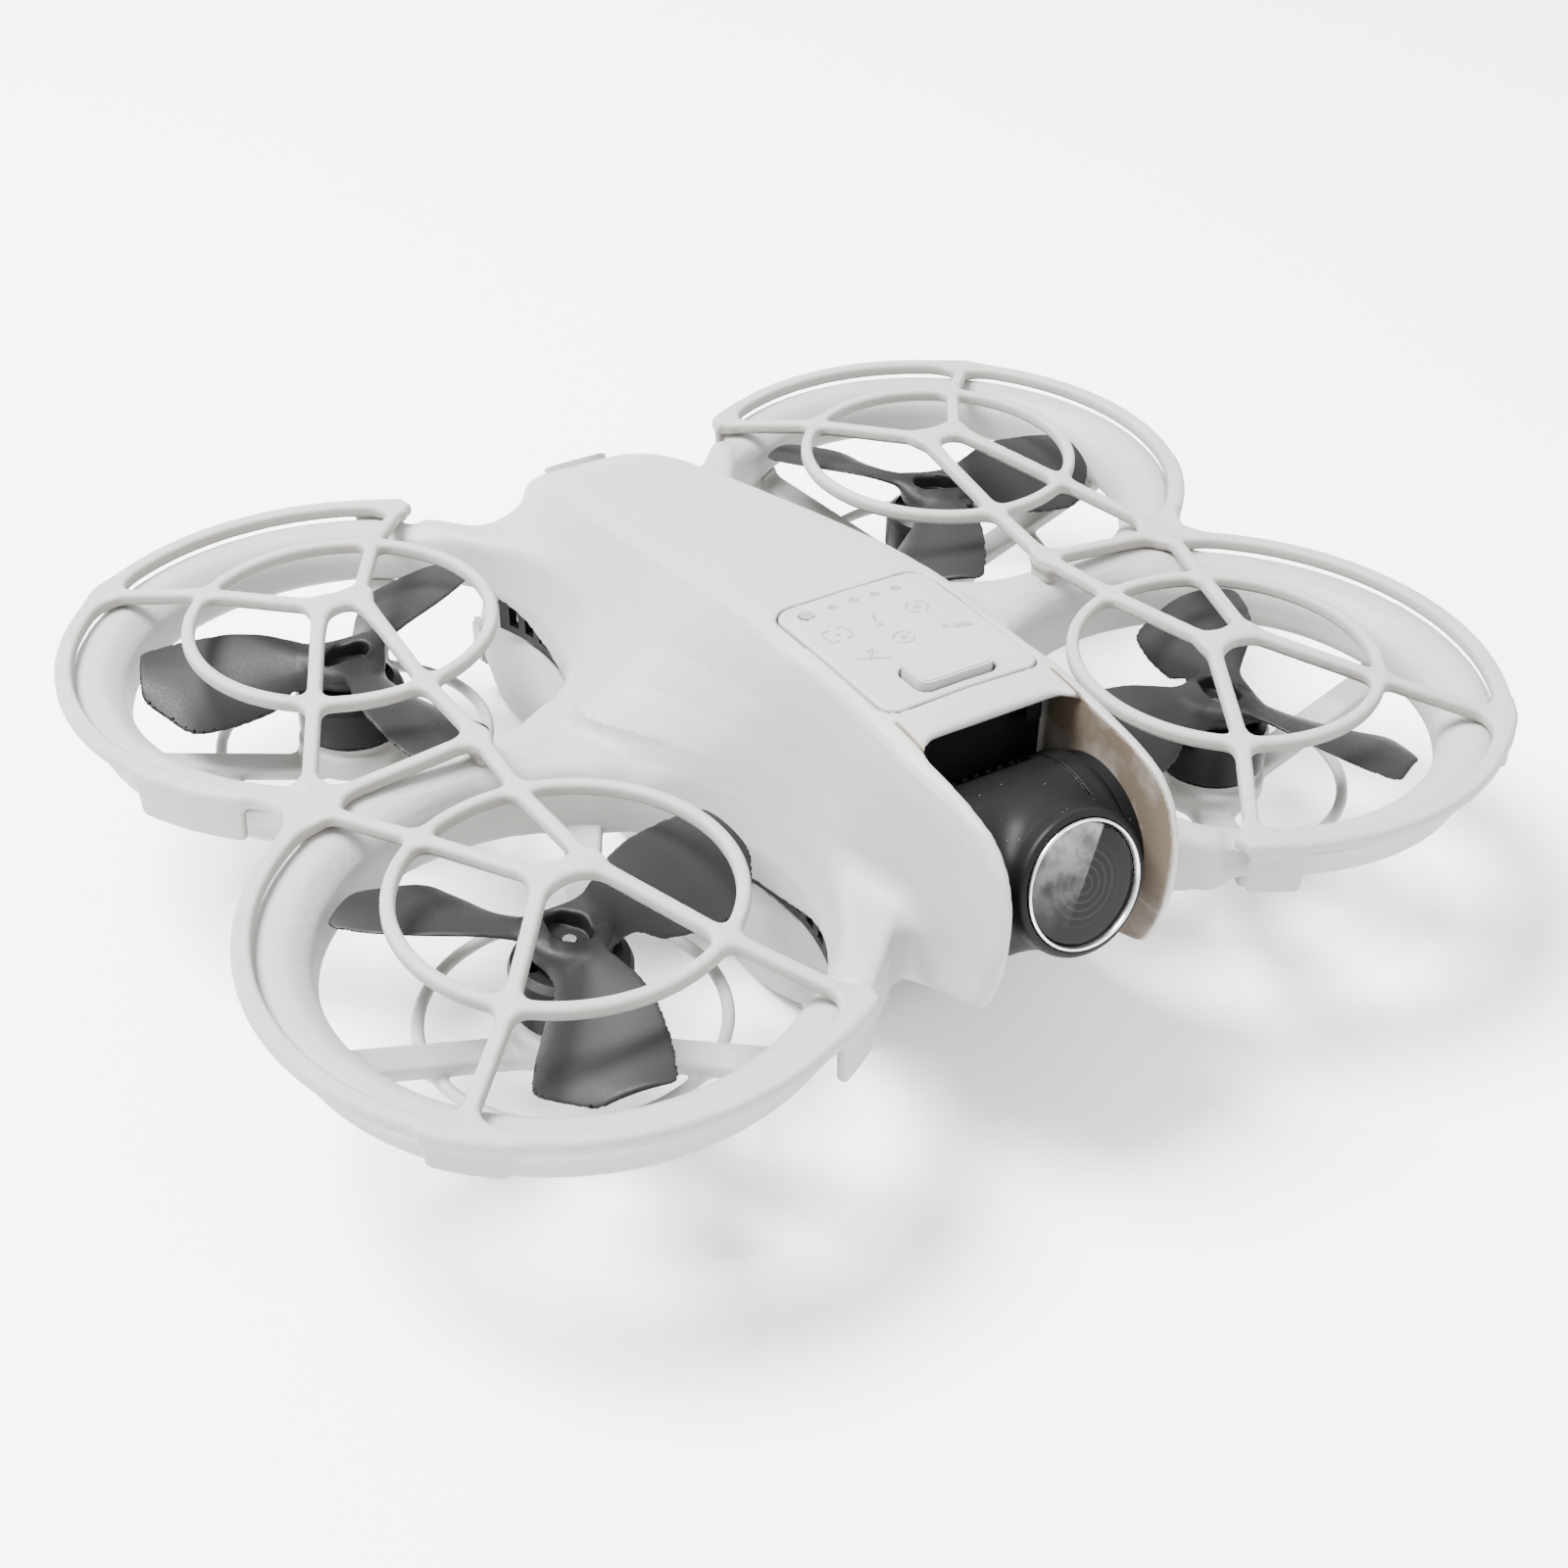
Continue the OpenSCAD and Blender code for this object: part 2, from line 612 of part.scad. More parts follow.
// Blade stations: radius, chord, sweep of the middle of the chord, sideways
blade_rows = [[3.2, 6.4, 0], [6, 8.4, 0.3], [9, 11, 0.7], [13, 12.6, 0.7], [17, 12.4, 0.2], [20.5, 11.4, -0.5],
    [23.2, 9.6, -1.2], [24.7, 7.2, -2]];
blade_skin = [[-0.5, 0], [-0.3, 0.55], [-0.05, 0.78], [0.25, 0.62], [0.5, 0.1],
    [0.25, -0.28], [-0.05, -0.4], [-0.3, -0.32]];
function pitch(r) = pitch_root + (pitch_tip - pitch_root) * (r - 3) / (prop_r - 3);
function blade_sec(row) = [for (p = blade_skin)
    let (u = p[0] * row[1], v = p[1] * (1.25 - 0.02 * row[0]), t = pitch(row[0]))
        [u * cos(t) + v * sin(t) + row[2], -u * sin(t) + v * cos(t)]];

module propeller() {
    difference() {
            union() {
                translate([0, 0, bell_top + 0.5 + eps]) cylinder(r1 = 4.6, r2 = 3.9, h = hub_top - bell_top - 0.5 - eps);
                for (a = [0, 120, 240])
                    rotate([0, 0, a]) translate([0, 0, 25.9]) mirror([1, 0, 0])
                        loft([for (r = blade_rows) r[0]], [for (r = blade_rows) blade_sec(r)]);
            }
            translate([0, 0, 20]) cylinder(r = shaft_r, h = 20, $fn = 64);
            translate([0, 0, hub_top - 1.1]) pill(5.2, 2.2, 1.1, 3);
            translate([0, 0, hub_top - 1.1]) cylinder(r = 1.9, h = 3);
            translate([0, 0, bell_top - 4]) cylinder(r = prop_r + 3, h = 4.5 + eps);
        }
}

module propeller_fl() { color(dark) corner(1, -1) rotate([0, 0, turn_fl]) propeller(); }
module propeller_fr() { color(dark) corner(-1, -1) rotate([0, 0, turn_fr]) propeller(); }
module propeller_rl() { color(dark) corner(1, 1) rotate([0, 0, turn_rl]) propeller(); }
module propeller_rr() { color(dark) corner(-1, 1) rotate([0, 0, turn_rr]) propeller(); }

module motor_screws() {
    color(steel)
        for (sx = [-1, 1])
            for (sy = [-1, 1])
                corner(sx, sy)
                    for (a = [45 : 90 : 315])
                        rotate([0, 0, a]) translate([4.4, 0, seat_z - 3.22]) {
                            cylinder(r = 1, h = 0.58, $fn = 32);
                            cylinder(r = 0.48, h = 3.9, $fn = 32);
                        }
}

// ---- camera ----

module tilted() {
    translate([0, tilt_y, tilt_z]) rotate([-tilt_rest, 0, 0]) children();
}

// Circle-based parts of the camera look along -Y from the tilt axis.
module lens_wise() {
    rotate([90, 0, 0]) children();
}

drum_left = 8.3;
drum_right = -9.5;
nose = 11.6;

module camera_drum() {
    color(black) tilted() difference() {
        union() {
            translate([drum_right, 0, 0]) rotate([0, 90, 0]) rotate_extrude()
                polygon([[0, 0], [drum_r - 0.9, 0], [drum_r - 0.25, 0.3], [drum_r, 0.9],
                    [drum_r, drum_left - drum_right - 0.9], [drum_r - 0.25, drum_left - drum_right - 0.3],
                    [drum_r - 0.9, drum_left - drum_right], [0, drum_left - drum_right]]);
            lens_wise() rotate_extrude()
                polygon([[0, 2], [8.1, 2], [8.1, nose - 2.6], [7.8, nose - 1], [7.6, nose - 0.3],
                    [7.3, nose], [0, nose]]);
        }
        lens_wise() translate([0, 0, nose - 0.7]) cylinder(r = 7.12, h = 3);
        lens_wise() translate([0, 0, nose - 5.6]) cylinder(r = 6.5, h = 9);
        // pivot holes
        translate([drum_right - 1, 0, 0]) rotate([0, 90, 0]) cylinder(r = 1.25, h = 4.5, $fn = 64);
        translate([drum_left - 3.5, 0, 0]) rotate([0, 90, 0]) cylinder(r = 1.25, h = 5, $fn = 64);
        // seam round the drum and heat ribs at its back
        translate([5.2, 0, 0]) rotate([0, 90, 0]) difference() {
            cylinder(r = 12, h = 0.25);
            cylinder(r = drum_r - 0.25, h = 0.25);
            translate([-14, -30, -1]) cube([28, 30, 3]);
        }
        for (i = [0 : 7])
            translate([-7.6 + 1.55 * i, 0, 0])
                rotate([0, 90, 0]) difference() {
                    cylinder(r = 12, h = 0.75);
                    cylinder(r = drum_r - 0.9, h = 0.75);
                    translate([-14, -30, -1]) cube([28, 30, 3]);
                    translate([0, -1, -1]) cube([30, 30, 3]);
                }
    }
}

module lens_ring() {
    color(steel) tilted() lens_wise() rotate_extrude()
        polygon([[6.52, nose - 0.68], [7.1, nose - 0.68], [7.1, nose + 0.25], [6.95, nose + 0.4],
            [6.7, nose + 0.4], [6.52, nose + 0.1]]);
}

module lens_glass() {
    color([0.1, 0.11, 0.13]) tilted() lens_wise() rotate_extrude()
        polygon([[0, nose - 1.2], [6.46, nose - 1.2], [6.46, nose - 0.35], [4.5, nose - 0.2], [2.4, nose - 0.11],
            [0, nose - 0.08]]);
}

module lens_stack() {
    color(black) tilted() lens_wise() rotate_extrude()
        polygon([[0, nose - 5.5], [6.4, nose - 5.5], [6.4, nose - 1.4], [5.9, nose - 1.4], [5.3, nose - 2.4],
            [4.7, nose - 2.4], [4.3, nose - 3.2], [3.7, nose - 3.2], [3.3, nose - 3.8], [2.2, nose - 3.1],
            [1.1, nose - 2.75], [0, nose - 2.65]]);
}

module tilt_motor() {
    color(black) difference() {
        translate([0, tilt_y, tilt_z]) rotate([0, 90, 0]) {
            translate([0, 0, drum_left + gap]) cylinder(r = 8.6, h = bay_half - drum_left - gap - eps);
            translate([0, 0, drum_left - 2.8]) cylinder(r = 1.2, h = 4, $fn = 64);
        }
        for (i = [0 : 11])
            translate([0, tilt_y, tilt_z]) rotate([30 * i, 0, 0])
                translate([drum_left - 1, -0.6, 4.6]) cube([2, 1.2, 2.4]);
    }
}

module tilt_pin() {
    color(steel) translate([drum_right, tilt_y, tilt_z]) rotate([0, 90, 0])
        translate([0, 0, -1.95]) cylinder(r = 1.2 - 0.001, h = 4.6, $fn = 64);
}

module gimbal_bracket() {
    color(dark) difference() {
        union() {
            translate([-back_half, bay_back + 0.05, back_low]) cube([2 * back_half, 1.2, back_high]);
            for (i = [-3 : 3])
                translate([i * 2.6 - 0.4, bay_back - 0.35, 21]) cube([0.8, 0.6, 6]);
            for (sx = [-1, 1])
                translate([sx * 7.4 - 1, bay_back - 1.9, 41.9]) cube([2, 2.4, 2]);
        }
        translate([0, tilt_y, tilt_z]) rotate([0, 90, 0]) translate([0, 0, -20]) cylinder(r = drum_r + 0.4, h = 40);
        translate([-3, bay_back - 3, 19.6]) cube([6, 8, 1.2]);
    }
}

module flex_cable() {
    color([0.45, 0.3, 0.12]) {
        translate([-2.6, -36.75, board_z + 1 + eps]) cube([5.2, 4, 0.2]);
        translate([-2.6, -36.75, 20.1]) cube([5.2, 0.2, board_z - 18.88]);
        translate([-2.6, -38.9, 20.1]) cube([5.2, 2.2, 0.2]);
    }
}

// ---- battery ----

module battery_pack() {
    color(white) resize([0, 0, 0]) difference() {
        union() {
            translate([-pack_half, rear_face - pack_len, wall + gap]) cube([2 * pack_half, pack_len + 0.6, 13.6]);
            loft(cap_ys, [for (y = cap_ys) whole(tub_half(y, split_z - 0.35))]);
        }
        both_sides() {
            translate([pack_half - 0.6, 51.4, 4.9]) cube([8, 3.8, 6.8]);
        }
        // contact slots
        for (i = [-2 : 2])
            translate([i * 4 - 0.8, rear_face - pack_len - 1, 9]) cube([1.6, 4, 3]);
        // grip dents
        for (i = [0 : 3])
            translate([-6, 52.2 + 1.3 * i, -0.1]) cube([12, 0.6, 0.9]);
    }
}

module latch() {
    translate([pack_half + 0.6, 51.7, 5.2]) cube([0.8, 3.2, 6.2]);
    translate([pack_half + 1.3, 52, 5.6]) cube([0.5, 2.6, 5.4]);
}

module battery_latch_left() { color(white) latch(); }
module battery_latch_right() { color(white) mirror([1, 0, 0]) latch(); }

module battery_contacts() {
    color([0.8, 0.65, 0.3]) {
        translate([-10.4, -5.9, 7.1]) cube([20.8, 1.85, 7]);
    }
}

// ---- electronics ----

board_z = 27;
module main_board() {
    color([0.1, 0.35, 0.2]) {
        translate([-9.4, -34, board_z]) cube([18.8, 68, 1]);
        for (b = [[-7, -20, 8, 8, 1.4], [2.4, -8, 5, 6, 1], [-8, 4, 6, 5, 1.2], [1, 14, 7, 7, 1.5], [-6, 22, 4, 6, 1]])
            translate([b[0], b[1], board_z - b[4] + eps]) cube([b[2], b[3], b[4]]);
    }
}

module heat_sink() {
    color([0.7, 0.71, 0.73]) {
        translate([-8, -26, board_z + 1 + eps]) cube([16, 22, 1.2]);
        for (i = [0 : 6])
            translate([-7.6 + 2.4 * i, -26, board_z + 2]) cube([0.8, 22, 5]);
    }
}

module antenna() {
    translate([8.3, -33, 31]) cube([0.5, 24, 8]);
    translate([8.2, -25, 30.4]) cube([0.7, 3, 1]);
}

module antenna_left() { color([0.85, 0.6, 0.3]) antenna(); }
module antenna_right() { color([0.85, 0.6, 0.3]) mirror([1, 0, 0]) antenna(); }

module down_camera() {
    color(black) translate([0, -24, 0]) difference() {
        union() {
            translate([0, 0, 0.5]) cylinder(r = 4, h = 1.6);
            translate([-5, -3.9, 1.62]) cube([10, 8.9, 3]);
        }
        cylinder(r1 = 3.4, r2 = 1.4, h = 1.7);
    }
}

module range_sensor() {
    color(black) translate([0, -12.5, 0]) difference() {
        union() {
            translate([0, 0, 0.5]) pill(13, 6, 3, 1.6);
            translate([-8, -4, 1.62]) cube([16, 8, 2.4]);
        }
        for (sx = [-1, 1])
            translate([sx * 3.2, 0, 0]) cylinder(r = 1.8, h = 1.2, $fn = 48);
    }
}

module usb_port() {
    color(steel) difference() {
        translate([-4.5, 55, 18.1]) cube([9, 6, 3.2]);
        translate([-4.1, 55.6, 18.5]) cube([8.2, 8, 2.4]);
    }
    color(black) translate([-3.2, 55.4, 19.35]) cube([6.4, 4.4, 0.7]);
}

upper_shell();
lower_shell();
duct_fl();
duct_fr();
duct_rl();
duct_rr();
spider_fl();
spider_fr();
spider_rl();
spider_rr();
guard_left();
guard_right();
vent_left();
vent_right();
control_panel();
status_lights();
mode_button();
power_button();
motor_base_fl();
motor_base_fr();
motor_base_rl();
motor_base_rr();
motor_bell_fl();
motor_bell_fr();
motor_bell_rl();
motor_bell_rr();
motor_shaft_fl();
motor_shaft_fr();
motor_shaft_rl();
motor_shaft_rr();
propeller_fl();
propeller_fr();
propeller_rl();
propeller_rr();
camera_drum();
lens_ring();
lens_glass();
lens_stack();
tilt_motor();
tilt_pin();
gimbal_bracket();
flex_cable();
battery_pack();
battery_latch_left();
battery_latch_right();
battery_contacts();
main_board();
heat_sink();
antenna_left();
antenna_right();
down_camera();
range_sensor();
usb_port();
shell_screws();
motor_screws();
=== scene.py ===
import math

import bpy
import numpy as np
from mathutils import Matrix, Vector


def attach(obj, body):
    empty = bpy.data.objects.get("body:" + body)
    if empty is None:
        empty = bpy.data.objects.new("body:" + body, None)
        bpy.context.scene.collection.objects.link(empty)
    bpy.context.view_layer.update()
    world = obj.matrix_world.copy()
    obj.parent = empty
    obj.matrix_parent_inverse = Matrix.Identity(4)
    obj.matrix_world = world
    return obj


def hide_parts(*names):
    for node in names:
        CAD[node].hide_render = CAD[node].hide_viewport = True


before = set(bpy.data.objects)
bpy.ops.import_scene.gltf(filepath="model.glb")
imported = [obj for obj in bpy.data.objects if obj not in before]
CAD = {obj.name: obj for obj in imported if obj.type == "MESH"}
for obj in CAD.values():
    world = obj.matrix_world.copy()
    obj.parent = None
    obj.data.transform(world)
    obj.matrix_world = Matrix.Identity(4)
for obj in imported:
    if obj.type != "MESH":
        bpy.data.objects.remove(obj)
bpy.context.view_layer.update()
MM = 0.001

# ---- main places, mm, the same as the CAD part ----

MOTOR_X, MOTOR_Y = 44.3, 30.4
THROAT_R, DUCT_TOP, DUCT_CREST = 26.5, 28.4, 28.8
SPLIT_Z = 16.7
BAY_HALF, BAY_BACK = 10.1, -38.2
TILT_Y, TILT_Z, TILT_REST = -48.5, 32.0, 17.9
NOSE, DRUM_R = 11.6, 9.6
RIM_R, RIM_Z, EYE_R, EYE_Z, CROWN_Z = 33.25, 29.75, 18.3, 32.5, 35.2
HUB_TOP, BELL_TOP, SEAT_Z, BLADE_Z = 27.4, 24.2, 16.6, 25.9
PANEL_Y = -25.9
DOWN_CAMERA_Y, RANGE_Y = -24, -12.5
BUTTON_Y, BUTTON_Z, BUTTON_LEAN = 54.6, 31.1, 31
TURNS = {"fl": 88, "fr": 76, "rl": 34, "rr": 11}
CORNERS = {"fl": (1, -1), "fr": (-1, -1), "rl": (1, 1), "rr": (-1, 1)}


# ---- distance fields: negative inside, in mm; the last value of a blend is its width ----

def union(a, b, k):
    """The nearer of two solids, melted together over about k."""
    if np.ndim(k) == 0 and k <= 0:
        return np.minimum(a, b)
    h = np.maximum(k - np.abs(a - b), 0) / k
    return np.minimum(a, b) - h * h * k * 0.25


def both(a, b, k):
    """Where two solids overlap, with an edge rounded over about k."""
    return -union(-a, -b, k)


def cut(a, b, k):
    """Solid a without solid b."""
    return both(a, -b, k)


def box2(u, v, hu, hv, r):
    """Rounded rectangle about the origin of the u, v plane."""
    qu, qv = np.abs(u) - hu + r, np.abs(v) - hv + r
    return np.hypot(np.maximum(qu, 0), np.maximum(qv, 0)) + np.minimum(np.maximum(qu, qv), 0) - r


def slab(v, lo, hi):
    """Between two levels."""
    return np.abs(v - (lo + hi) / 2) - (hi - lo) / 2


def outline(u, v, points):
    """Polygon in the u, v plane; its corners may differ from point to point."""
    best, sign = None, np.ones(u.shape, np.float32)
    for (ax, ay), (bx, by) in zip(points, points[-1:] + points[:-1]):
        ex, ey, wx, wy = bx - ax, by - ay, u - ax, v - ay
        t = np.clip((wx * ex + wy * ey) / (ex * ex + ey * ey + 1e-9), 0, 1)
        d = (wx - ex * t) ** 2 + (wy - ey * t) ** 2
        best = d if best is None else np.minimum(best, d)
        up, down, side = v >= ay, v < by, ex * wy > ey * wx
        sign = np.where((up & down & side) | ~(up | down | side), -sign, sign)
    return sign * np.sqrt(best)


def rounder(points):
    """Cuts each corner of an open line once, at a quarter of its sides."""
    keep = 0.25
    out = []
    for (ax, ay), (bx, by) in zip(points, points[1:]):
        out.append((ax + keep * (bx - ax), ay + keep * (by - ay)))
        out.append((bx + keep * (ax - bx), by + keep * (ay - by)))
    return [points[0]] + out[1:-1] + [points[-1]]


def thirds(x, y):
    """The plan turned into each of three even directions."""
    for a in (0, 120, 240):
        c, s = math.cos(math.radians(a)), math.sin(math.radians(a))
        yield c * x + s * y, c * y - s * x


def along(table, spread):
    """A soft curve through a table of (place, value)."""
    step = 0.25
    place = np.arange(table[0][0] - 12, table[-1][0] + 12, step)
    value = np.interp(place, [p for p, _ in table], [v for _, v in table])
    reach = int(3 * spread / step)
    weight = np.exp(-0.5 * (np.arange(-reach, reach + 1) * step / spread) ** 2)
    value = np.convolve(np.pad(value, reach, mode="edge"), weight / weight.sum(), "valid")
    return lambda y: np.interp(y, place, value).astype(np.float32)


# ---- from a distance field to a mesh ----

PORTION = 60000  # points asked for at a time
BLOCK = 8        # grid cells along one side of a block
BATCH = 160      # blocks worked out at a time


def sample(field, p):
    """Field at many points, in portions that stay quick."""
    out = np.empty(len(p), np.float32)
    for i in range(0, len(p), PORTION):
        q = p[i:i + PORTION]
        out[i:i + PORTION] = field(q[:, 0], q[:, 1], q[:, 2])
    return out


def slope(field, p):
    """Direction in which the field grows, and how fast."""
    e = 0.05
    g = np.empty(p.shape, np.float32)
    for axis in range(3):
        step = np.zeros(3, np.float32)
        step[axis] = e
        g[:, axis] = (sample(field, p + step) - sample(field, p - step)) / (2 * e)
    return g


def surface(field, lo, hi, h):
    """Points, normals and quads of the field's zero surface on a grid of step h."""
    lo = np.array(lo, np.float64) - 2 * h
    size = np.ceil((np.array(hi) + 2 * h - lo) / h / BLOCK).astype(int)
    every = np.stack(np.meshgrid(*[np.arange(n) for n in size], indexing="ij"), -1).reshape(-1, 3)
    # half a block's diagonal, and some spare because a blended field is not a true distance
    reach = BLOCK * h * 0.87 * 1.35 + 0.8
    d = sample(field, (lo + (every * BLOCK + BLOCK // 2) * h).astype(np.float32))
    blocks = every[np.abs(d) < reach]
    span = size * BLOCK + 2
    code = np.array([span[1] * span[2], span[2], 1])
    corner = np.stack(np.meshgrid(*[np.arange(BLOCK + 1)] * 3, indexing="ij"), -1).reshape(-1, 3)
    offs = np.array([[a, b, c] for a in (0, 1) for b in (0, 1) for c in (0, 1)])
    pairs = [(i, j) for i in range(8) for j in range(i + 1, 8) if np.abs(offs[i] - offs[j]).sum() == 1]
    cell_keys, cell_pos, quad_keys = [], [], []
    for first in range(0, len(blocks), BATCH):
        some = blocks[first:first + BATCH]
        index = some[:, None, :] * BLOCK + corner[None]
        value = sample(field, (lo + index.reshape(-1, 3) * h).astype(np.float32))
        value = value.reshape(-1, BLOCK + 1, BLOCK + 1, BLOCK + 1)
        value[value == 0] = 1e-6
        inside = value < 0
        # cells that the surface crosses: some of their 8 corners inside, some outside
        total = sum(inside[:, a:a + BLOCK, b:b + BLOCK, c:c + BLOCK].astype(np.int8) for a, b, c in offs)
        n, i, j, k = np.nonzero((total > 0) & (total < 8))
        at = np.stack([i, j, k], 1)
        ends = np.stack([value[n, i + a, j + b, k + c] for a, b, c in offs], 1)
        spot, hits = np.zeros((len(n), 3)), np.zeros(len(n))
        for a, b in pairs:
            hit = (ends[:, a] < 0) != (ends[:, b] < 0)
            t = ends[:, a] / np.where(hit, ends[:, a] - ends[:, b], 1)
            spot += np.where(hit[:, None], offs[a] + (offs[b] - offs[a]) * t[:, None], 0)
            hits += hit
        cell = some[n] * BLOCK + at
        cell_keys.append(cell @ code)
        cell_pos.append(lo + (cell + spot / hits[:, None]) * h)
        for axis in range(3):
            p, q, r = np.eye(3, dtype=int)[axis]
            a = inside[:, :BLOCK, :BLOCK, :BLOCK]
            b = inside[:, p:p + BLOCK, q:q + BLOCK, r:r + BLOCK]
            n, i, j, k = np.nonzero(a != b)
            base = (some[n] * BLOCK + np.stack([i, j, k], 1)) @ code
            u, w = code[(axis + 1) % 3], code[(axis + 2) % 3]
            quad = np.stack([base - u - w, base - w, base, base - u], 1)
            out = a[n, i, j, k]
            quad_keys.append(np.where(out[:, None], quad, quad[:, ::-1]))
    keys, pos, quads = np.concatenate(cell_keys), np.concatenate(cell_pos), np.concatenate(quad_keys)
    order = np.argsort(keys)
    keys, pos = keys[order], pos[order].astype(np.float32)
    found = np.searchsorted(keys, quads).clip(0, len(keys) - 1)
    quads = found[(keys[found] == quads).all(1)]
    # two steps onto the surface, none longer than 0.6 of a cell
    for _ in range(2):
        g = slope(field, pos)
        steep = np.maximum((g * g).sum(1), 0.04)
        move = -g * (sample(field, pos) / steep)[:, None]
        far = np.linalg.norm(move, axis=1) / (0.6 * h)
        pos += move / np.maximum(far, 1)[:, None]
    g = slope(field, pos)
    return pos, g / np.maximum(np.linalg.norm(g, axis=1), 1e-6)[:, None], quads


def make(name, skin, place=None):
    """A mesh object from points, normals and faces in mm, moved by a 4x4 matrix in mm."""
    pos, normal, faces = skin
    faces = np.asarray(faces)
    if place is not None:
        m = np.array(place)
        pos = pos @ m[:3, :3].T + m[:3, 3]
        normal = None if normal is None else normal @ m[:3, :3].T
        if np.linalg.det(m[:3, :3]) < 0:
            faces = faces[:, ::-1]
    mesh = bpy.data.meshes.new(name)
    mesh.vertices.add(len(pos))
    mesh.vertices.foreach_set("co", (np.asarray(pos) * MM).astype(np.float32).ravel())
    n, w = faces.shape
    mesh.loops.add(n * w)
    mesh.loops.foreach_set("vertex_index", faces.astype(np.int32).ravel())
    mesh.polygons.add(n)
    mesh.polygons.foreach_set("loop_start", np.arange(0, n * w, w, dtype=np.int32))
    mesh.polygons.foreach_set("loop_total", np.full(n, w, np.int32))
    mesh.update(calc_edges=True)
    mesh.validate()
    mesh.polygons.foreach_set("use_smooth", np.ones(len(mesh.polygons), bool))
    if normal is not None and len(mesh.vertices) == len(pos):
        mesh.normals_split_custom_set_from_vertices(normal.astype(np.float32).tolist())
    obj = bpy.data.objects.new(name, mesh)
    bpy.context.scene.collection.objects.link(obj)
    return obj


def to_corner(which, turn=None):
    """Matrix from a front-left part about its own axis to a corner, all in mm."""
    sx, sy = CORNERS[which]
    m = Matrix.Translation((sx * MOTOR_X, sy * MOTOR_Y, 0)) @ Matrix.Diagonal((sx, -sy, 1, 1))
    return m if turn is None else m @ Matrix.Rotation(math.radians(turn), 4, "Z")


# ---- white upper body ----

ROOF = along([(-63, 45.4), (-55, 46.1), (-45, 47.0), (-38, 47.55), (-14, 46.95), (-6, 46.0), (11, 42.9),
    (25, 40.2), (38, 37.4), (45, 35.7), (50.6, 33.6), (59, 28.7), (62.4, 25.2), (63.4, 21.5)], 1.8)
CREASE_W = along([(-63, 10.8), (-55, 11.8), (-45, 12.4), (-14, 12.7), (0, 12.6), (11, 12.2), (30, 11.2),
    (42, 10.4), (50, 9.2), (58, 7.2), (63.4, 4)], 2.5)
CREASE_Z = along([(-63, 43.4), (-53, 44.5), (-39, 45.7), (-18.6, 45.7), (-6, 44.1), (11, 40.8), (26, 37.6),
    (42, 34.3), (50, 31.2), (58, 26.4), (63.4, 20.4)], 2.5)
SIDE_W = along([(-63, 11.6), (-56, 12.3), (-48, 12.8), (-42, 14.4), (-36, 16.6), (-30, 17.2), (-22, 18.6),
    (-12, 22), (-5, 27), (0, 31.6), (5, 27), (12, 22), (22, 18.6), (30, 17.2), (40, 17), (47, 16.6),
    (52, 15.2), (58, 12.2), (62, 8), (63.4, 5.5)], 2.2)
SIDE_Z = along([(-63, 28), (-50, 27.6), (-36, 28.8), (0, 29.2), (36, 28.8), (47, 27.5), (58, 22.5),
    (63.4, 18.6)], 2.5)
BASE_W = along([(-63, 11.2), (-50, 12), (-38, 15), (-30, 16.4), (0, 27), (30, 16.4), (47, 15.6),
    (58, 11.6), (63.4, 5)], 2.5)
# Side outline (y, z): the round nose of the ears, with the roof and tail left to the curves above
SIDE_VIEW = [(-39.2, 15.0), (-40.5, SPLIT_Z + 0.2), (-46.5, 18.6), (-54.8, 21.1), (-57.1, 21.9),
    (-58.4, 22.6), (-59.3, 24.1), (-60.2, 26.4), (-60.8, 28.6), (-61.4, 31.5), (-61.7, 34.8),
    (-61.6, 37.2), (-61.1, 39.4), (-60.2, 41.6), (-58.8, 43.3), (-57, 44.7), (-54.9, 45.6), (-52, 47),
    (-45, 52), (63.5, 52), (63.5, 15.0)]


def pod_field(x, y, z):
    """The long body, as if it were solid and open at the nose."""
    ax = np.abs(x)
    roof, cw, cz, sw, sz, bw = ROOF(y), CREASE_W(y), CREASE_Z(y), SIDE_W(y), SIDE_Z(y), BASE_W(y)
    fall = roof - cz
    half = [(cw * 0, roof), (0.72 * cw, roof - 0.10 * fall), (0.93 * cw, roof - 0.48 * fall), (cw, cz - 0.3),
        (cw + 0.34 * (sw - cw), cz + 0.5 * (sz - cz)), (sw, sz), (bw, SPLIT_Z - 0.8 + 0 * sw)]
    ring = [(-20 + 0 * cw, roof)] + rounder(half) + [(-20 + 0 * cw, SPLIT_Z - 0.8 + 0 * cw)]
    return outline(ax, z, ring)


LIP_WIDE, LIP_HIGH, LIP_POWER = 4.3, 5.3, 0.85


def inlet(steps):
    """Flared mouth of a duct from the throat up to the crest, radius and height."""
    points = []
    for i in range(steps + 1):
        t = math.radians(90 * i / steps)
        outward = LIP_WIDE * (1 - math.cos(t) ** LIP_POWER)
        down = LIP_HIGH * (1 - math.sin(t) ** LIP_POWER)
        points.append((THROAT_R + outward, DUCT_CREST - down))
    return points


# Height of a duct wall's lower edge round the duct: 0 looks at the body, + towards the nose or tail
WALL_FOOT = along([(-180, 21.45), (-150, 21.4), (-140, 21.1), (-115, 20.4), (-90, 20.1), (-77, 19.9),
    (-55, 19.2), (-42, 19.0), (-12, 18.4), (0, 18.8), (6, 20.2), (16, 21.6), (25, 22.6), (50, 22.5),
    (70, 22.0), (100, 21.5), (180, 21.45)], 4.0)
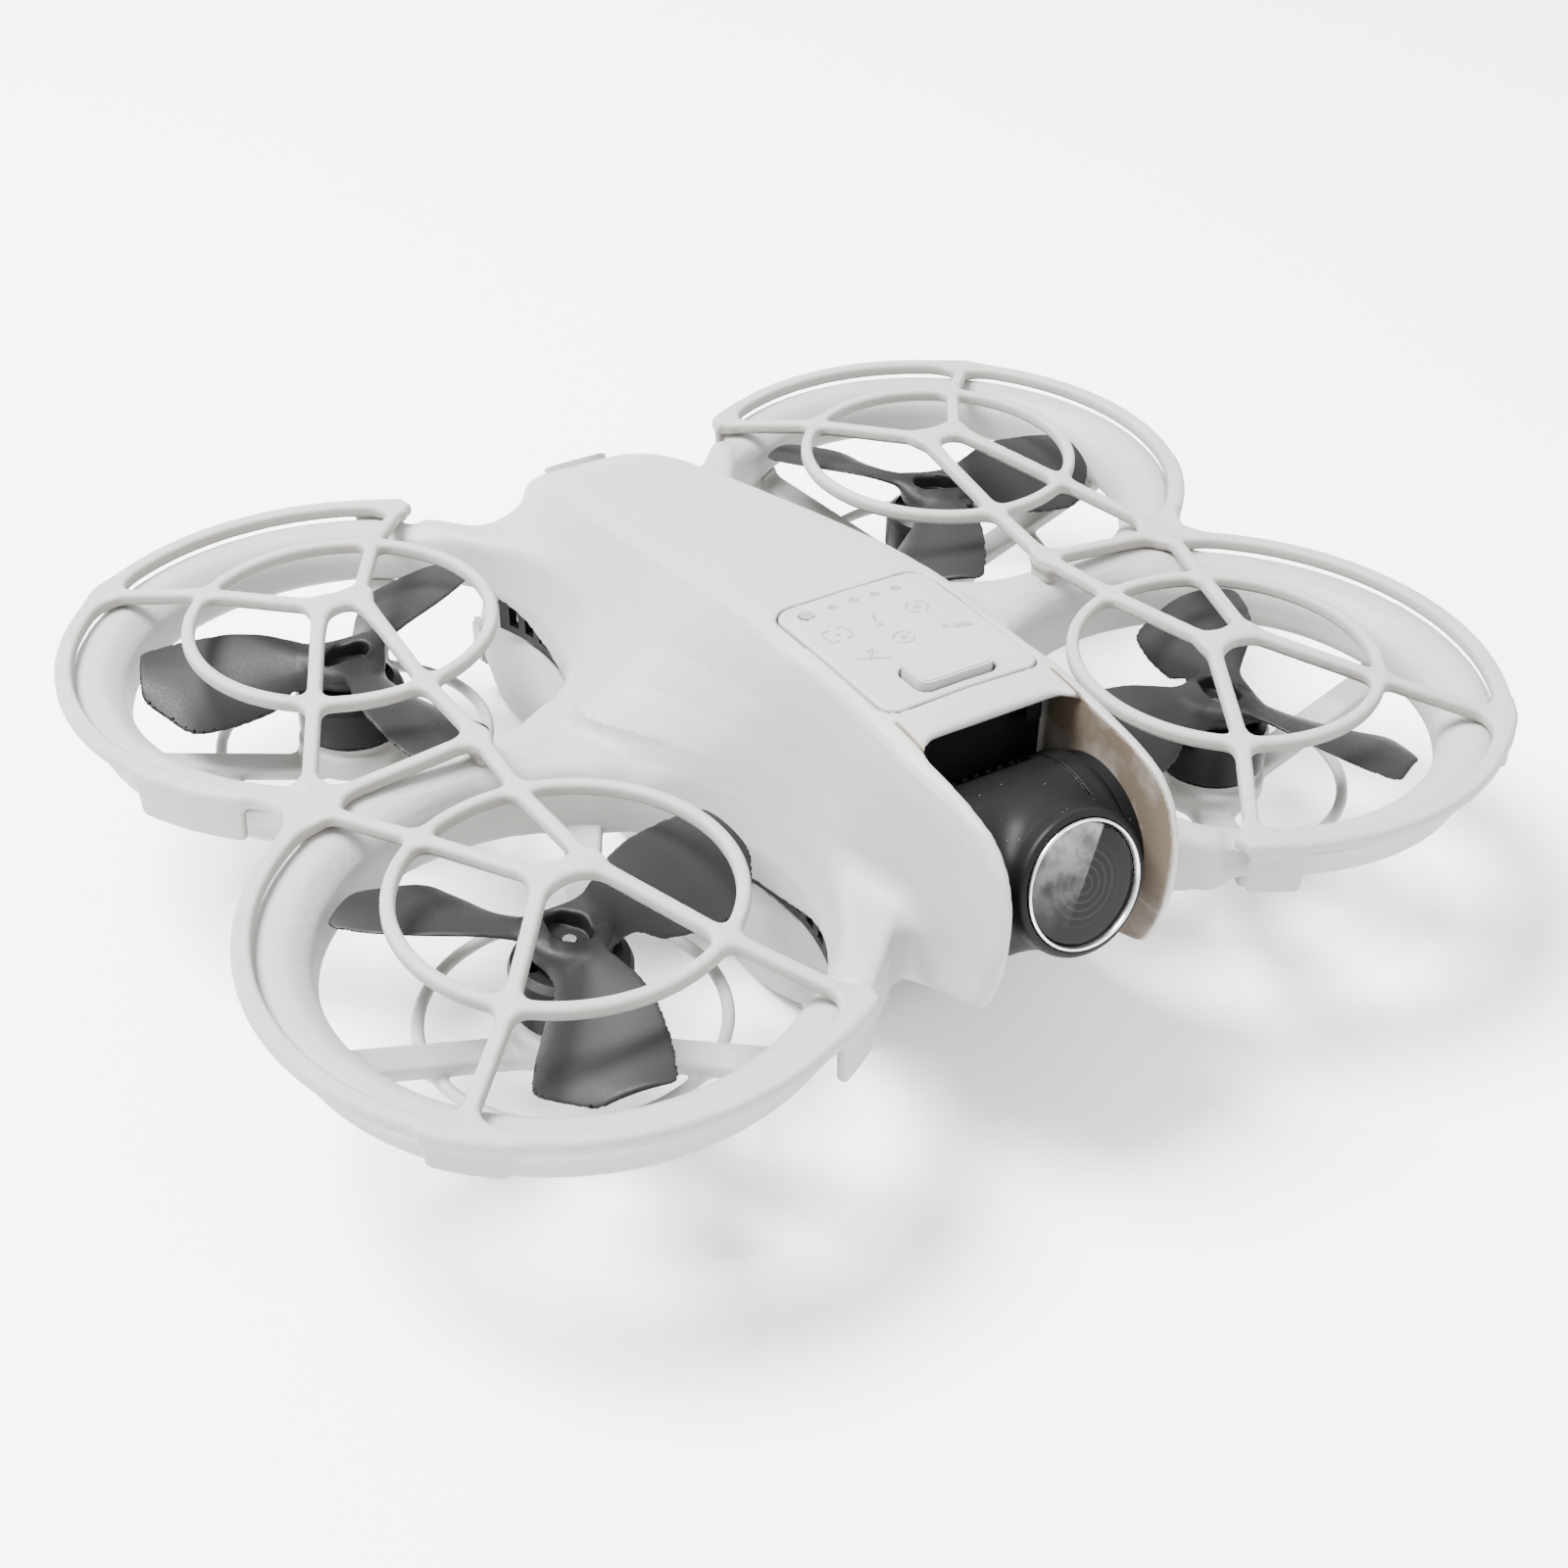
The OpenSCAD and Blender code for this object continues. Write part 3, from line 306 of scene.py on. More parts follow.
# Plan shapes (distance from the middle plane, y) that tie the ducts to the body and to each other
SHOULDER_FRONT = [(6, -34), (6, -47.5), (13, -48.6), (17, -49.6), (20.5, -52), (23.5, -54.2),
    (30, -50), (22, -34)]
SHOULDER_REAR = [(6, 34), (6, 51), (14.4, 50.2), (16.3, 47.6), (19, 49), (23.5, 54.2), (30, 50), (22, 34)]
SHOULDER_LOW, SHOULDER_HIGH = 22.0, 28.2
BRIDGE = [(20, -9), (20, 9), (44, 5.2), (62.2, 3.4), (63.0, 0), (62.2, -3.4), (44, -5.2)]
BRIDGE_LOW = 21.6


def flat_web(ax, y, z, shape, lo, hi, r=1.0):
    """A plate of that plan shape with rounded edges."""
    plan, level = outline(ax, y, shape) + r, slab(z, lo, hi) + r
    return np.hypot(np.maximum(plan, 0), np.maximum(level, 0)) + np.minimum(np.maximum(plan, level), 0) - r


def beside(u, v):
    """Angle round a duct in degrees, and how much that place belongs to the body's side, 1 to 0."""
    swing = np.degrees(np.arctan2(v, u))
    t = np.clip((np.abs(swing) - 30) / 28, 0, 1)
    return swing, 1 - t * t * (3 - 2 * t)


def duct_field(ax, v, z):
    """Wall of one duct; v runs from its axis towards the nose or tail."""
    rho = np.hypot(ax - MOTOR_X, v)
    swing, near = beside(MOTOR_X - ax, v)
    foot = WALL_FOOT(swing)
    wall = ([(27.1, foot), (THROAT_R + 0.06, foot + 1.1)] + inlet(9)
        + [(31.9, DUCT_CREST - 0.1), (32.7, 28.3), (32.9, 27.7), (32.4, 27.0), (27.9, foot)])
    return outline(rho, z, wall) + 5 * near


def throat_field(rho, near, z):
    """Air inside one duct, with its flare; at the body's side it is a steep cone."""
    mouth = inlet(6)[1:-1]
    flare = [(27.35, 24.0), (27.6, 25.2), (27.9, 26.5), (28.2, 27.8), (28.6, 29.0)]
    rim = [(a + (c - a) * near, b + (d - b) * near) for (a, b), (c, d) in zip(mouth, flare)]
    high = [(30.6, 29.9), (31.6, 35.4), (34.5, 58.0)]
    side = [(29.2, 31.0), (30.6, 36.0), (34.5, 58.0)]
    top = [(a + (c - a) * near, b + (d - b) * near) for (a, b), (c, d) in zip(high, side)]
    low = THROAT_R + 0.75 * near
    return outline(rho, z, [(-5, 0), (low, 0), (low, 23.5)] + rim + top + [(-5, 58.0)])


def body_field(x, y, z):
    """White upper body: roof, nose ears and the four ducts, hollow, with seats for what it carries."""
    ax, ay = np.abs(x), np.abs(y)
    rho = np.hypot(ax - MOTOR_X, ay - MOTOR_Y)
    swing, near = beside(MOTOR_X - ax, ay - MOTOR_Y)
    foot = WALL_FOOT(swing)
    pod = both(pod_field(x, y, z), outline(y, z, SIDE_VIEW), 1.8)
    front = flat_web(ax, y, z, SHOULDER_FRONT, SHOULDER_LOW, SHOULDER_HIGH)
    rear = flat_web(ax, y, z, SHOULDER_REAR, SHOULDER_LOW, SHOULDER_HIGH)
    mass = union(pod, union(front, rear, 0), 4.0)
    mass = union(mass, flat_web(ax, y, z, BRIDGE, BRIDGE_LOW, DUCT_TOP, 1.4), 3.0)
    disc = both(rho - 32.5, both(z - DUCT_TOP + 0.1, foot - 0.6 - z, 0.5), 1.0)
    mass = union(mass, disc + np.clip((ax - 22) / 3, 0, 1) * 1.5, 4.5)
    mass = cut(mass, throat_field(rho, near, z), 1.1)
    walls = union(duct_field(ax, ay - MOTOR_Y, z), duct_field(ax, -ay - MOTOR_Y, z), 2.4)
    mass = union(mass, walls, 1.2)
    # the walls and the bridge between two ducts end at the walls' lower edge
    mass = cut(mass, both(rho - 28.15, z - foot, 0.2), 0.35)
    low = SPLIT_Z + (foot - SPLIT_Z) * np.clip((ax - 16) / 3, 0, 1) * np.clip((36 - rho) / 3, 0, 1)
    mass = cut(mass, z - low, 0.5)
    # inside of the shell
    hollow = both(pod_field(x, y, z) + 1.5, 35.0 - rho, 0.5)
    hollow = both(hollow, BAY_BACK + 2.0 - y, 0.5)
    mass = cut(mass, both(hollow, y - 51, 0.5), 0.6)
    # camera bay with an open top and front
    bay = both(ax - BAY_HALF, y - BAY_BACK, 0.4)
    over = box2(ax, y + 62.7, BAY_HALF, 20, 3.0)
    bay = union(both(bay, z - 46.1, 0.4), both(over, 30 - z, 0.4), 0.3)
    mass = cut(mass, bay, 0.8)
    # opening for the dark wall behind the camera
    mass = cut(mass, both(both(ax - 9.98, slab(y, -39, -34), 0.1), slab(z, 18.7, 45.5), 0.1), 0.2)
    # room for the vent grille under each wall, beside the body
    pocket = both(both(slab(rho, 27.0, 29.7), slab(z, 16.0, np.minimum(foot + 0.2, 22.9)), 0.2),
        (np.abs(swing) - 24.6) * 0.49, 0.3)
    mass = cut(mass, pocket, 0.3)
    # seat of the control panel
    mass = cut(mass, both(box2(x, y - PANEL_Y, 10.17, 12.07, 2.3), 44.4 - z, 0.1), 0.3)
    # seat of the round rear button
    c, s = math.cos(math.radians(BUTTON_LEAN)), math.sin(math.radians(BUTTON_LEAN))
    dy, dz = y - BUTTON_Y, z - BUTTON_Z
    mass = cut(mass, both(np.hypot(x, c * dy - s * dz) - 4.5, np.abs(s * dy + c * dz) - 3.0, 0.1), 0.2)
    # mouth of the charging socket in the tail
    return cut(mass, both(box2(x, z - 19.7, 5.2, 2.0, 1.2), 50 - y, 0.2), 0.4)


# ---- lower body ----

KEEL_Z = along([(-38, 9.6), (-36, 6.4), (-33, 3.4), (-29, 1.2), (-25, 0.25), (-22, 0), (49, 0), (53, 0.9),
    (56, 2.6), (58.4, 5.2)], 1.0)
KEEL_W = along([(-38, 7), (-35, 9.5), (-30, 12), (-24, 13.6), (-10, 14.2), (50, 14.2), (55, 12.6),
    (58.4, 10)], 1.5)
HIP_W = along([(-38, 11.6), (-35, 14.2), (-30, 16.4), (-22, 17.8), (-8, 18.2), (48, 18.2), (53, 17.2),
    (56, 15.6), (58.4, 13.2)], 1.5)
EDGE_W = along([(-38, 12.4), (-34, 14.6), (-30, 16), (0, 17.2), (46, 16.4), (53, 15), (58.4, 12)], 1.5)


def tub_field(x, y, z, top):
    """The boat-shaped lower half of the body up to that height; the battery is its rear part."""
    ax = np.abs(x)
    kz, kw, hw, ew = KEEL_Z(y), KEEL_W(y), HIP_W(y), EDGE_W(y)
    half = [(ew, top + 0 * ew), (0.5 * (ew + hw) + 0.3, 13.6 + 0 * ew), (hw, np.maximum(kz + 2, 10.2)),
        (hw - 0.3, np.maximum(kz + 1.6, 6.8)), (hw - 1.3, np.maximum(kz + 1.1, 3.6)),
        (0.5 * (kw + hw) + 0.2, kz + 0.9), (kw, kz)]
    ring = [(-20 + 0 * kw, top + 0 * kw)] + rounder(half) + [(-20 + 0 * kw, kz)]
    return outline(ax, z, ring)


def lower_field(x, y, z):
    """Lower shell: a tray with a battery bay at the rear and openings in its floor."""
    ax = np.abs(x)
    mass = both(tub_field(x, y, z, SPLIT_Z), slab(y, -38, 50), 0.8)
    # battery bay, then the room above the floor in front of it
    mass = cut(mass, both(both(ax - 15.8, -4 - y, 0.2), 1.4 - z, 0.2), 0.3)
    mass = cut(mass, both(both(ax - 10.6, slab(y, -28, -6), 0.2), 1.6 - z, 0.2), 0.3)
    # openings for the downward camera and the range sensor
    mass = cut(mass, both(np.hypot(x, y - DOWN_CAMERA_Y) - 4.1, z - 5, 0.1), 0.4)
    mass = cut(mass, both(box2(x, y - RANGE_Y, 6.6, 3.1, 3.05), z - 5, 0.1), 0.4)
    # screw wells
    for sx in (-1, 1):
        for sy in (-27.5, -8):
            mass = cut(mass, both(np.hypot(x - sx * 11.8, y - sy) - 1.75, z - 1.3, 0.1), 0.25)
    # row of vent slots under the nose
    comb = box2((x + 1.6) % 3.2 - 1.6, y + 30.4, 0.7, 1.8, 0.65)
    return cut(mass, both(both(comb, ax - 7.2, 0.1), z - 8, 0.1), 0.25)


def pack_field(x, y, z):
    """Battery: a core inside the bay and a cap that carries on the body's shape, grooved below."""
    ax = np.abs(x)
    cap = both(tub_field(x, y, z, SPLIT_Z - 0.35), slab(y, 50.3, 58.3), 1.2)
    core = both(both(ax - 15.5, slab(z, 1.7, 15.3), 0.6), slab(y, -3, 51), 0.4)
    mass = union(cap, core, 0.2)
    mass = cut(mass, both(slab(y, 51.4, 55.2), both(slab(z, 4.9, 11.7), 14.9 - ax, 0.1), 0.1), 0.4)
    groove = box2((y - 52.5 + 0.65) % 1.3 - 0.65, z, 0.3, 0.9, 0.2)
    return cut(mass, both(groove, both(ax - 6, slab(y, 51.6, 56.8), 0.1), 0.1), 0.2)


# ---- moulded frame under each motor ----

WIRE_R, WIRE_Z, BAR_RISE = 16.7, 15.25, 0.365


def spider_field(x, y, z):
    """Cup under the motor, three bars rising to the duct wall, and a wire ring."""
    rho = np.hypot(x, y)
    low = both(rho - 7.1, slab(z, 13.4, SEAT_Z), 0.9)
    high = both(rho - 6.3, slab(z, 12.6, SEAT_Z + 0.9), 0.5)
    out = cut(union(low, high, 0.6), both(rho - 5.2, slab(z, 5, SEAT_Z - 2.6), 0.3), 0.4)
    for u, v in thirds(x, y):
        middle = 13.8 + BAR_RISE * (u - 9)
        bar = both(box2(v, (z - middle) * 0.94, 2.15, 0.92, 0.55), slab(u, 5.5, 28.2), 0.8)
        out = union(out, bar, 1.6)
        out = union(out, both(box2(v, z - 21.2, 2.1, 1.2, 0.5), slab(u, 26.7, 28.7), 0.5), 1.0)
        nub = np.hypot(np.hypot(v * 0.8, (u - WIRE_R) * 0.7), z - 15.7) - 1.1
        out = union(out, nub, 0.8)
    out = union(out, np.hypot(rho - WIRE_R, z - WIRE_Z) - 0.72, 0.7)
    return cut(out, both(rho - 1.3, z - SEAT_Z - 2, 0.1), 0.3)


# ---- propeller guards ----

BAR_HALF, RIM_HALF = 0.86, 1.05
MEET, TIE, MEET_Z = (40.2, 0.0), (60.9, 0.0), 31.9
PER_DEGREE = 0.01745


def section(wide, lift, hw, hh, r):
    """Bar section from the plan distance to its middle line and the height above it."""
    return box2(np.maximum(wide, -0.5 * hw) + hw, lift, hw, hh, r)


def guard_field(x, y, z):
    """The left guard: one dome over each duct, joined at the middle; the rear one is folded forward."""
    front = y < 0
    ay = np.abs(y)
    fold = -ay
    px, py = x - MOTOR_X, -(ay - MOTOR_Y)
    rho = np.hypot(px, py)
    ang = np.degrees(np.arctan2(py, px))

    def bar(p, q, zp, zq):
        """Plan distance and height for a straight bar between two plan points."""
        ex, ey = q[0] - p[0], q[1] - p[1]
        t = np.clip(((x - p[0]) * ex + (fold - p[1]) * ey) / (ex * ex + ey * ey), 0, 1)
        d = np.hypot(x - p[0] - ex * t, fold - p[1] - ey * t)
        return d - BAR_HALF, zp + (zq - zp) * t

    def on_eye(way):
        """Point of the eye ring in that direction from the motor's axis."""
        return MOTOR_X + EYE_R * math.cos(math.radians(way)), -MOTOR_Y + EYE_R * math.sin(math.radians(way))

    def spoke(start, way, tip, tip_z=RIM_Z):
        """From the crown over the eye ring to the rim, or to the place where the two domes meet."""
        a, az = bar(start, on_eye(way), CROWN_Z, EYE_Z)
        b, bz = bar(on_eye(way), tip, EYE_Z, tip_z)
        return np.minimum(a, b), np.where(a < b, az, bz)

    outer, inner = (MOTOR_X + 2.6, -MOTOR_Y), (MOTOR_X - 2.6, -MOTOR_Y)
    so_f, si_f = spoke(outer, -45.9, (66.1, -52.9)), spoke(inner, -124.7, (26.1, -56.7))
    so_r, si_r = spoke(outer, -48.4, (65.5, -54.3)), spoke(inner, -124.8, (26.5, -56.0))
    so = tuple(np.where(front, a, b) for a, b in zip(so_f, so_r))
    si = tuple(np.where(front, a, b) for a, b in zip(si_f, si_r))
    mid = spoke(outer, 58, TIE)
    rail = spoke(inner, 100, MEET, MEET_Z)
    flat = bar(inner, outer, CROWN_Z, CROWN_Z)
    eye = (np.abs(rho - EYE_R) - 0.78, EYE_Z + 0 * rho)
    cross = bar(MEET, TIE, MEET_Z, RIM_Z)
    # the rim is an arc of 187 degrees about a direction of -31.5
    past_end = np.maximum(np.abs(((ang + 31.5 + 180) % 360) - 180) - 93.5, 0) * rho * PER_DEGREE
    beyond = np.hypot(np.maximum(np.abs(rho - RIM_R - 0.02) - RIM_HALF, 0), past_end)
    rim = (beyond + np.minimum(np.abs(rho - RIM_R) - RIM_HALF, 0), RIM_Z + 0 * rho)
    # heights melt into each other where bars meet
    bars = [so, si, mid, rail, flat, eye, cross, rim]
    weight = [np.exp(-np.clip(b[0] + 1, 0, 30) / 0.7) + 1e-12 for b in bars]
    level = sum(w * b[1] for w, b in zip(weight, bars)) / sum(weight)
    lively = 1.6 + 3.0 * np.clip((rho - 28.5) / 4, 0, 1) + 1.6 * np.clip((6 - ay) / 6, 0, 1)
    arch_a = union(so[0], si[0], 7.0)
    arch_b = union(mid[0], rail[0], 7.0)
    tips = np.where(front, arch_a, union(so[0], si[0], 1.6))
    mids = np.where(front, union(mid[0], rail[0], 1.6), arch_b)
    plan = union(union(tips, mids, 1.8), flat[0], 2.0)
    plan = union(plan, eye[0], 1.8)
    plan = union(plan, cross[0], 2.6)
    plan = union(plan, rim[0], lively)
    net = section(plan, z - level, 0.9, 0.95, 0.66)
    # catches under the rim
    net = union(net, skirt(ang, rho, z, -120, 5.6, 5.4), 0.8)
    near = np.where(front, skirt(ang, rho, z, -47, 7.4, 3.4), skirt(ang, rho, z, 37, 12, 4.8))
    net = union(net, near, 0.8)
    leg = both(box2(x - MEET[0], ay, 1.0, 2.0, 0.9), slab(z, DUCT_TOP + 0.75, 31.2), 0.4)
    return union(net, leg, 1.0)


def skirt(ang, rho, z, middle, half, depth):
    """A block that hangs from the rim, a little narrower at its foot."""
    off = np.abs((ang - middle + 180) % 360 - 180) * 0.58 - half * 0.58
    shell = both(slab(rho, RIM_R - 0.05, RIM_R + 1.15), slab(z, RIM_Z - 0.6 - depth, RIM_Z + 0.4), 0.5)
    return both(shell, off + 0.25 * (RIM_Z - z) / depth, 0.5)


# ---- propeller ----

CHORD_HIGH = along([(3, 3.0), (6, 4.3), (10, 6.0), (14, 6.9), (20, 7.0), (25, 6.3)], 0.8)
CHORD_LOW = along([(3, -3.0), (6, -3.8), (10, -5.6), (14, -7.2), (18.5, -8.2), (20, -7.6), (25, -2.2),
    (27, 0)], 0.5)
PITCH = along([(3, 34), (8, 31), (14, 24), (20, 17), (25, 12)], 1.5)
THICK = along([(3, 1.1), (8, 0.62), (16, 0.48), (25, 0.34)], 1.0)
TIP_R = 24.9


def blade_field(x, y, z):
    """One blade along +Y; its high edge is on +X."""
    high, low = CHORD_HIGH(y), CHORD_LOW(y)
    t = np.radians(PITCH(y))
    u = x * np.cos(t) + (z - BLADE_Z) * np.sin(t)
    v = (z - BLADE_Z) * np.cos(t) - x * np.sin(t)
    mid, half = (high + low) / 2, (high - low) / 2
    w = (u - mid) / half
    camber = 0.8 * (1 - w * w) - 0.25
    thick = THICK(y) * np.clip(1.15 - 0.8 * w * w, 0.3, 1.1)
    plan = both(np.abs(u - mid) - half, y - TIP_R, 1.2)
    return both(both(np.abs(v - camber) - thick, plan * 0.9, 0.5), 1.5 - y, 0.3)


def propeller_field(x, y, z):
    """Three blades on a hub that sits on the motor bell, with a keyed hole in its top."""
    rho = np.hypot(x, y)
    blades = None
    for u, v in thirds(x, y):
        one = blade_field(u, v, z)
        blades = one if blades is None else union(blades, one, 1.0)
    hub = both(rho - 4.45 - 0.12 * (HUB_TOP - z), slab(z, BELL_TOP + 0.55, HUB_TOP), 1.1)
    out = union(blades, hub, 1.8)
    slot = box2(x, y, 3.1, 1.45, 1.4)
    hole = np.hypot(x, y) - 2.1
    out = cut(out, both(union(slot, hole, 0.6), HUB_TOP - 1.5 - z, 0.2), 0.5)
    out = cut(out, both(rho - 0.75, 0 * z - 1, 0), 0.05)
    return both(out, BELL_TOP + 0.52 - z - np.clip(rho - 7.5, 0, 9) * 0.6, 0.1)


# ---- camera ----

def tilt(y, z):
    """Into the camera's own axes: forward along the lens, and up."""
    c, s = math.cos(math.radians(TILT_REST)), math.sin(math.radians(TILT_REST))
    dy, dz = y - TILT_Y, z - TILT_Z
    return -(c * dy - s * dz), s * dy + c * dz


def barrel_field(x, y, z):
    """Round camera body across the bay, with its snout, cooling ribs and the recess for the lens."""
    fore, up = tilt(y, z)
    across = np.hypot(fore, up)
    drum = both(across - DRUM_R, slab(x, -9.5, 8.3), 1.3)
    snout = both(np.hypot(x, up) - 8.0 - 0.1 * np.clip(NOSE - 2 - fore, 0, 4), slab(fore, 1, NOSE), 0.8)
    out = union(drum, snout, 1.6)
    lens = np.hypot(x, up)
    out = cut(out, both(lens - 7.12, NOSE - 0.7 - fore, 0.05), 0.2)
    out = cut(out, both(lens - 6.5, NOSE - 5.6 - fore, 0.05), 0.1)
    seam = both(np.abs(x - 5.3) - 0.14, DRUM_R - 0.3 - across, 0.02)
    out = cut(out, both(seam, fore - 7, 0.02), 0.08)
    swing = np.degrees(np.arctan2(up, -fore))
    rib = both(np.abs((x + 7.6) % 1.55 - 0.775) - 0.36, DRUM_R - 0.95 - across, 0.05)
    rib = both(rib, both(slab(swing, -40, 66) * 0.16, slab(x, -7.7, 4.0), 0.2), 0.2)
    out = cut(out, rib, 0.2)
    shelf = both(slab(x, -8.1, 4.4), slab(swing, 66, 84) * 0.16, 0.2)
    out = cut(out, both(shelf, DRUM_R - 0.35 - across, 0.05), 0.15)
    pins = np.hypot(y - TILT_Y, z - TILT_Z) - 1.28
    return cut(out, both(pins, np.minimum(x + 6.0, 4.8 - x), 0.05), 0.05)


# ---- control panel and its marks ----

# (x, radius) of the five holes for the status lights, and the y of their row
LIGHT_ROW = [(-6.9, 0.85), (-3.4, 0.5), (-0.6, 0.5), (2.2, 0.5), (5.0, 0.5)]
LIGHT_Y = -16.6


def panel_field(x, y, z):
    """The roof's control panel, cut from the body's own shape, with its button and light holes."""
    plate = both(both(pod_field(x, y, z), box2(x, y - PANEL_Y, 9.98, 11.88, 2.2), 0.4), 44.7 - z, 0.1)
    plate = cut(plate, box2(x, y + 33.9, 5.12, 2.78, 1.6), 0.25)
    for at, size in LIGHT_ROW:
        plate = cut(plate, np.hypot(x - at, y - LIGHT_Y) - size - 0.04, 0.08)
    return plate


def marks_field(x, y, z):
    """Thin prints on the panel: rings, dots, a corner frame, an arrow and a short line."""
    def ring(cx, cy, r):
        return np.abs(np.hypot(x - cx, y - cy) - r) - 0.13

    def dot(cx, cy, r):
        return np.hypot(x - cx, y - cy) - r

    def dash(ax, ay, bx, by, w=0.13):
        ex, ey = bx - ax, by - ay
        t = np.clip(((x - ax) * ex + (y - ay) * ey) / (ex * ex + ey * ey), 0, 1)
        return np.hypot(x - ax - ex * t, y - ay - ey * t) - w

    shapes = [np.maximum(ring(-0.4, -26.2, 1.15), 0.35 - np.abs(y + 26.2)), dot(-0.4, -26.2, 0.42),
        np.maximum(ring(4.6, -21.4, 1.25), 0.3 - np.abs(x - 4.6)), dot(4.6, -21.4, 0.45),
        np.maximum(np.abs(box2(x + 6.2, y + 21.9, 1.5, 1.2, 0.5)) - 0.13, 0.4 - np.abs(x + 6.2)),
        dot(-6.2, -21.9, 0.3), dash(-6.0, -28.2, -4.6, -26.4), dash(-7.2, -27.2, -3.9, -28.9),
        dash(-4.6, -26.4, -5.5, -26.6), dash(-4.6, -26.4, -4.5, -27.3), dot(-1.1, -22.6, 0.4),
        dash(-1.1, -21.6, -0.5, -20.2, 0.15), dot(4.9, -26.4, 0.42), dash(6.0, -27.0, 7.6, -27.4, 0.42)]
    out = shapes[0]
    for shape in shapes[1:]:
        out = np.minimum(out, shape)
    return np.maximum(out, np.abs(pod_field(x, y, z) + 0.05) - 0.11)


# ---- turned parts ----

def turned(points, count=96):
    """Skin of a profile (radius, height) turned about Z."""
    p = np.array(points, float)
    a = np.linspace(0, 2 * math.pi, count, endpoint=False)
    pos = np.stack([np.outer(np.cos(a), p[:, 0]), np.outer(np.sin(a), p[:, 0]),
        np.outer(np.ones(count), p[:, 1])], -1).reshape(-1, 3)
    n = len(p)
    i, j = np.meshgrid(np.arange(count), np.arange(n - 1), indexing="ij")
    i2 = (i + 1) % count
    faces = np.stack([i * n + j, i2 * n + j, i2 * n + j + 1, i * n + j + 1], -1).reshape(-1, 4)
    return pos, None, faces


# ---- materials ----

def tree(name):
    """A new material with its node tree and shader."""
    m = bpy.data.materials.new(name)
    m.use_nodes = True
    nt = m.node_tree
    nt.nodes.clear()
    out = nt.nodes.new("ShaderNodeOutputMaterial")
    bsdf = nt.nodes.new("ShaderNodeBsdfPrincipled")
    nt.links.new(bsdf.outputs[0], out.inputs[0])
    return m, nt, bsdf


def node(nt, kind, inputs=None, **props):
    """A node with its settings; an input is another node's socket or a value."""
    n = nt.nodes.new(kind)
    for k, v in props.items():
        setattr(n, k, v)
    for k, v in (inputs or {}).items():
        if isinstance(v, bpy.types.NodeSocket):
            nt.links.new(v, n.inputs[k])
        else:
            n.inputs[k].default_value = v
    return n


def math_node(nt, op, a, b=0.0):
    return node(nt, "ShaderNodeMath", {0: a, 1: b}, operation=op).outputs[0]


def times(nt, a, b):
    return math_node(nt, "MULTIPLY", a, b)


def distance(nt, a, b):
    """Length of the vector (a, b)."""
    return math_node(nt, "SQRT", math_node(nt, "ADD", times(nt, a, a), times(nt, b, b)))


def here(nt):
    """Place on the object in mm."""
    pos = node(nt, "ShaderNodeTexCoord").outputs["Object"]
    return node(nt, "ShaderNodeVectorMath", {0: pos, "Scale": 1000.0}, operation="SCALE").outputs[0]


def axes(nt, mm):
    """The three coordinates of a place."""
    return node(nt, "ShaderNodeSeparateXYZ", {0: mm}).outputs[:3]


def mix(nt, factor, a, b):
    return node(nt, "ShaderNodeMix", {0: factor, 6: a, 7: b}, data_type="RGBA").outputs[2]


def grain(nt, mm, size, detail=2.0, rough=0.5):
    """Noise; size is its scale for a place in mm, so a small value gives wide clouds."""
    values = {"Vector": mm, "Scale": size, "Detail": detail, "Roughness": rough}
    return node(nt, "ShaderNodeTexNoise", values).outputs[0]


def ramp(nt, value, lo, hi):
    """0 at lo and 1 at hi; lo may be the larger one."""
    return node(nt, "ShaderNodeMapRange", {0: value, 1: lo, 2: hi, 3: 0.0, 4: 1.0}, clamp=True).outputs[0]


def bump(nt, bsdf, height, strength, depth=0.05):
    """Fine relief; depth in mm."""
    b = node(nt, "ShaderNodeBump", {"Strength": strength, "Distance": depth * MM, "Height": height})
    nt.links.new(b.outputs[0], bsdf.inputs["Normal"])


def uneven(nt, bsdf, value, lo, hi):
    """Roughness between lo and hi, following a grain."""
    r = node(nt, "ShaderNodeMapRange", {0: value, 1: 0.3, 2: 0.7, 3: lo, 4: hi})
    nt.links.new(r.outputs[0], bsdf.inputs["Roughness"])


def moulded(name, colour, shade, rough=0.52, texture=0.35, speck=0.35, spec=0.4, size=2.6):
    """Matte moulded plastic: fine spark-eroded texture, faint clouds, worn and dusty spots."""
    m, nt, bsdf = tree(name)
    mm = here(nt)
    fine = grain(nt, mm, size, 3.0, 0.6)
    cloud = grain(nt, mm, 0.06, 3.0, 0.55)
    dust = ramp(nt, grain(nt, mm, 0.9, 4.0, 0.7), 0.66, 0.72)
    wide = mix(nt, ramp(nt, cloud, 0.35, 0.7), colour, shade)
    dot = node(nt, "ShaderNodeTexVoronoi", {"Vector": mm, "Scale": 0.35}, feature="F1").outputs[0]
    dots = times(nt, ramp(nt, dot, 0.06, 0.03), speck)
    darker = tuple(c * 0.72 for c in colour[:3]) + (1,)
    base = mix(nt, dots, mix(nt, times(nt, dust, 0.10), wide, darker), darker)
    nt.links.new(base, bsdf.inputs["Base Color"])
    uneven(nt, bsdf, fine, rough - 0.06, rough + 0.08)
    bsdf.inputs["Specular IOR Level"].default_value = spec
    bump(nt, bsdf, fine, texture)
    return m, nt, bsdf, base


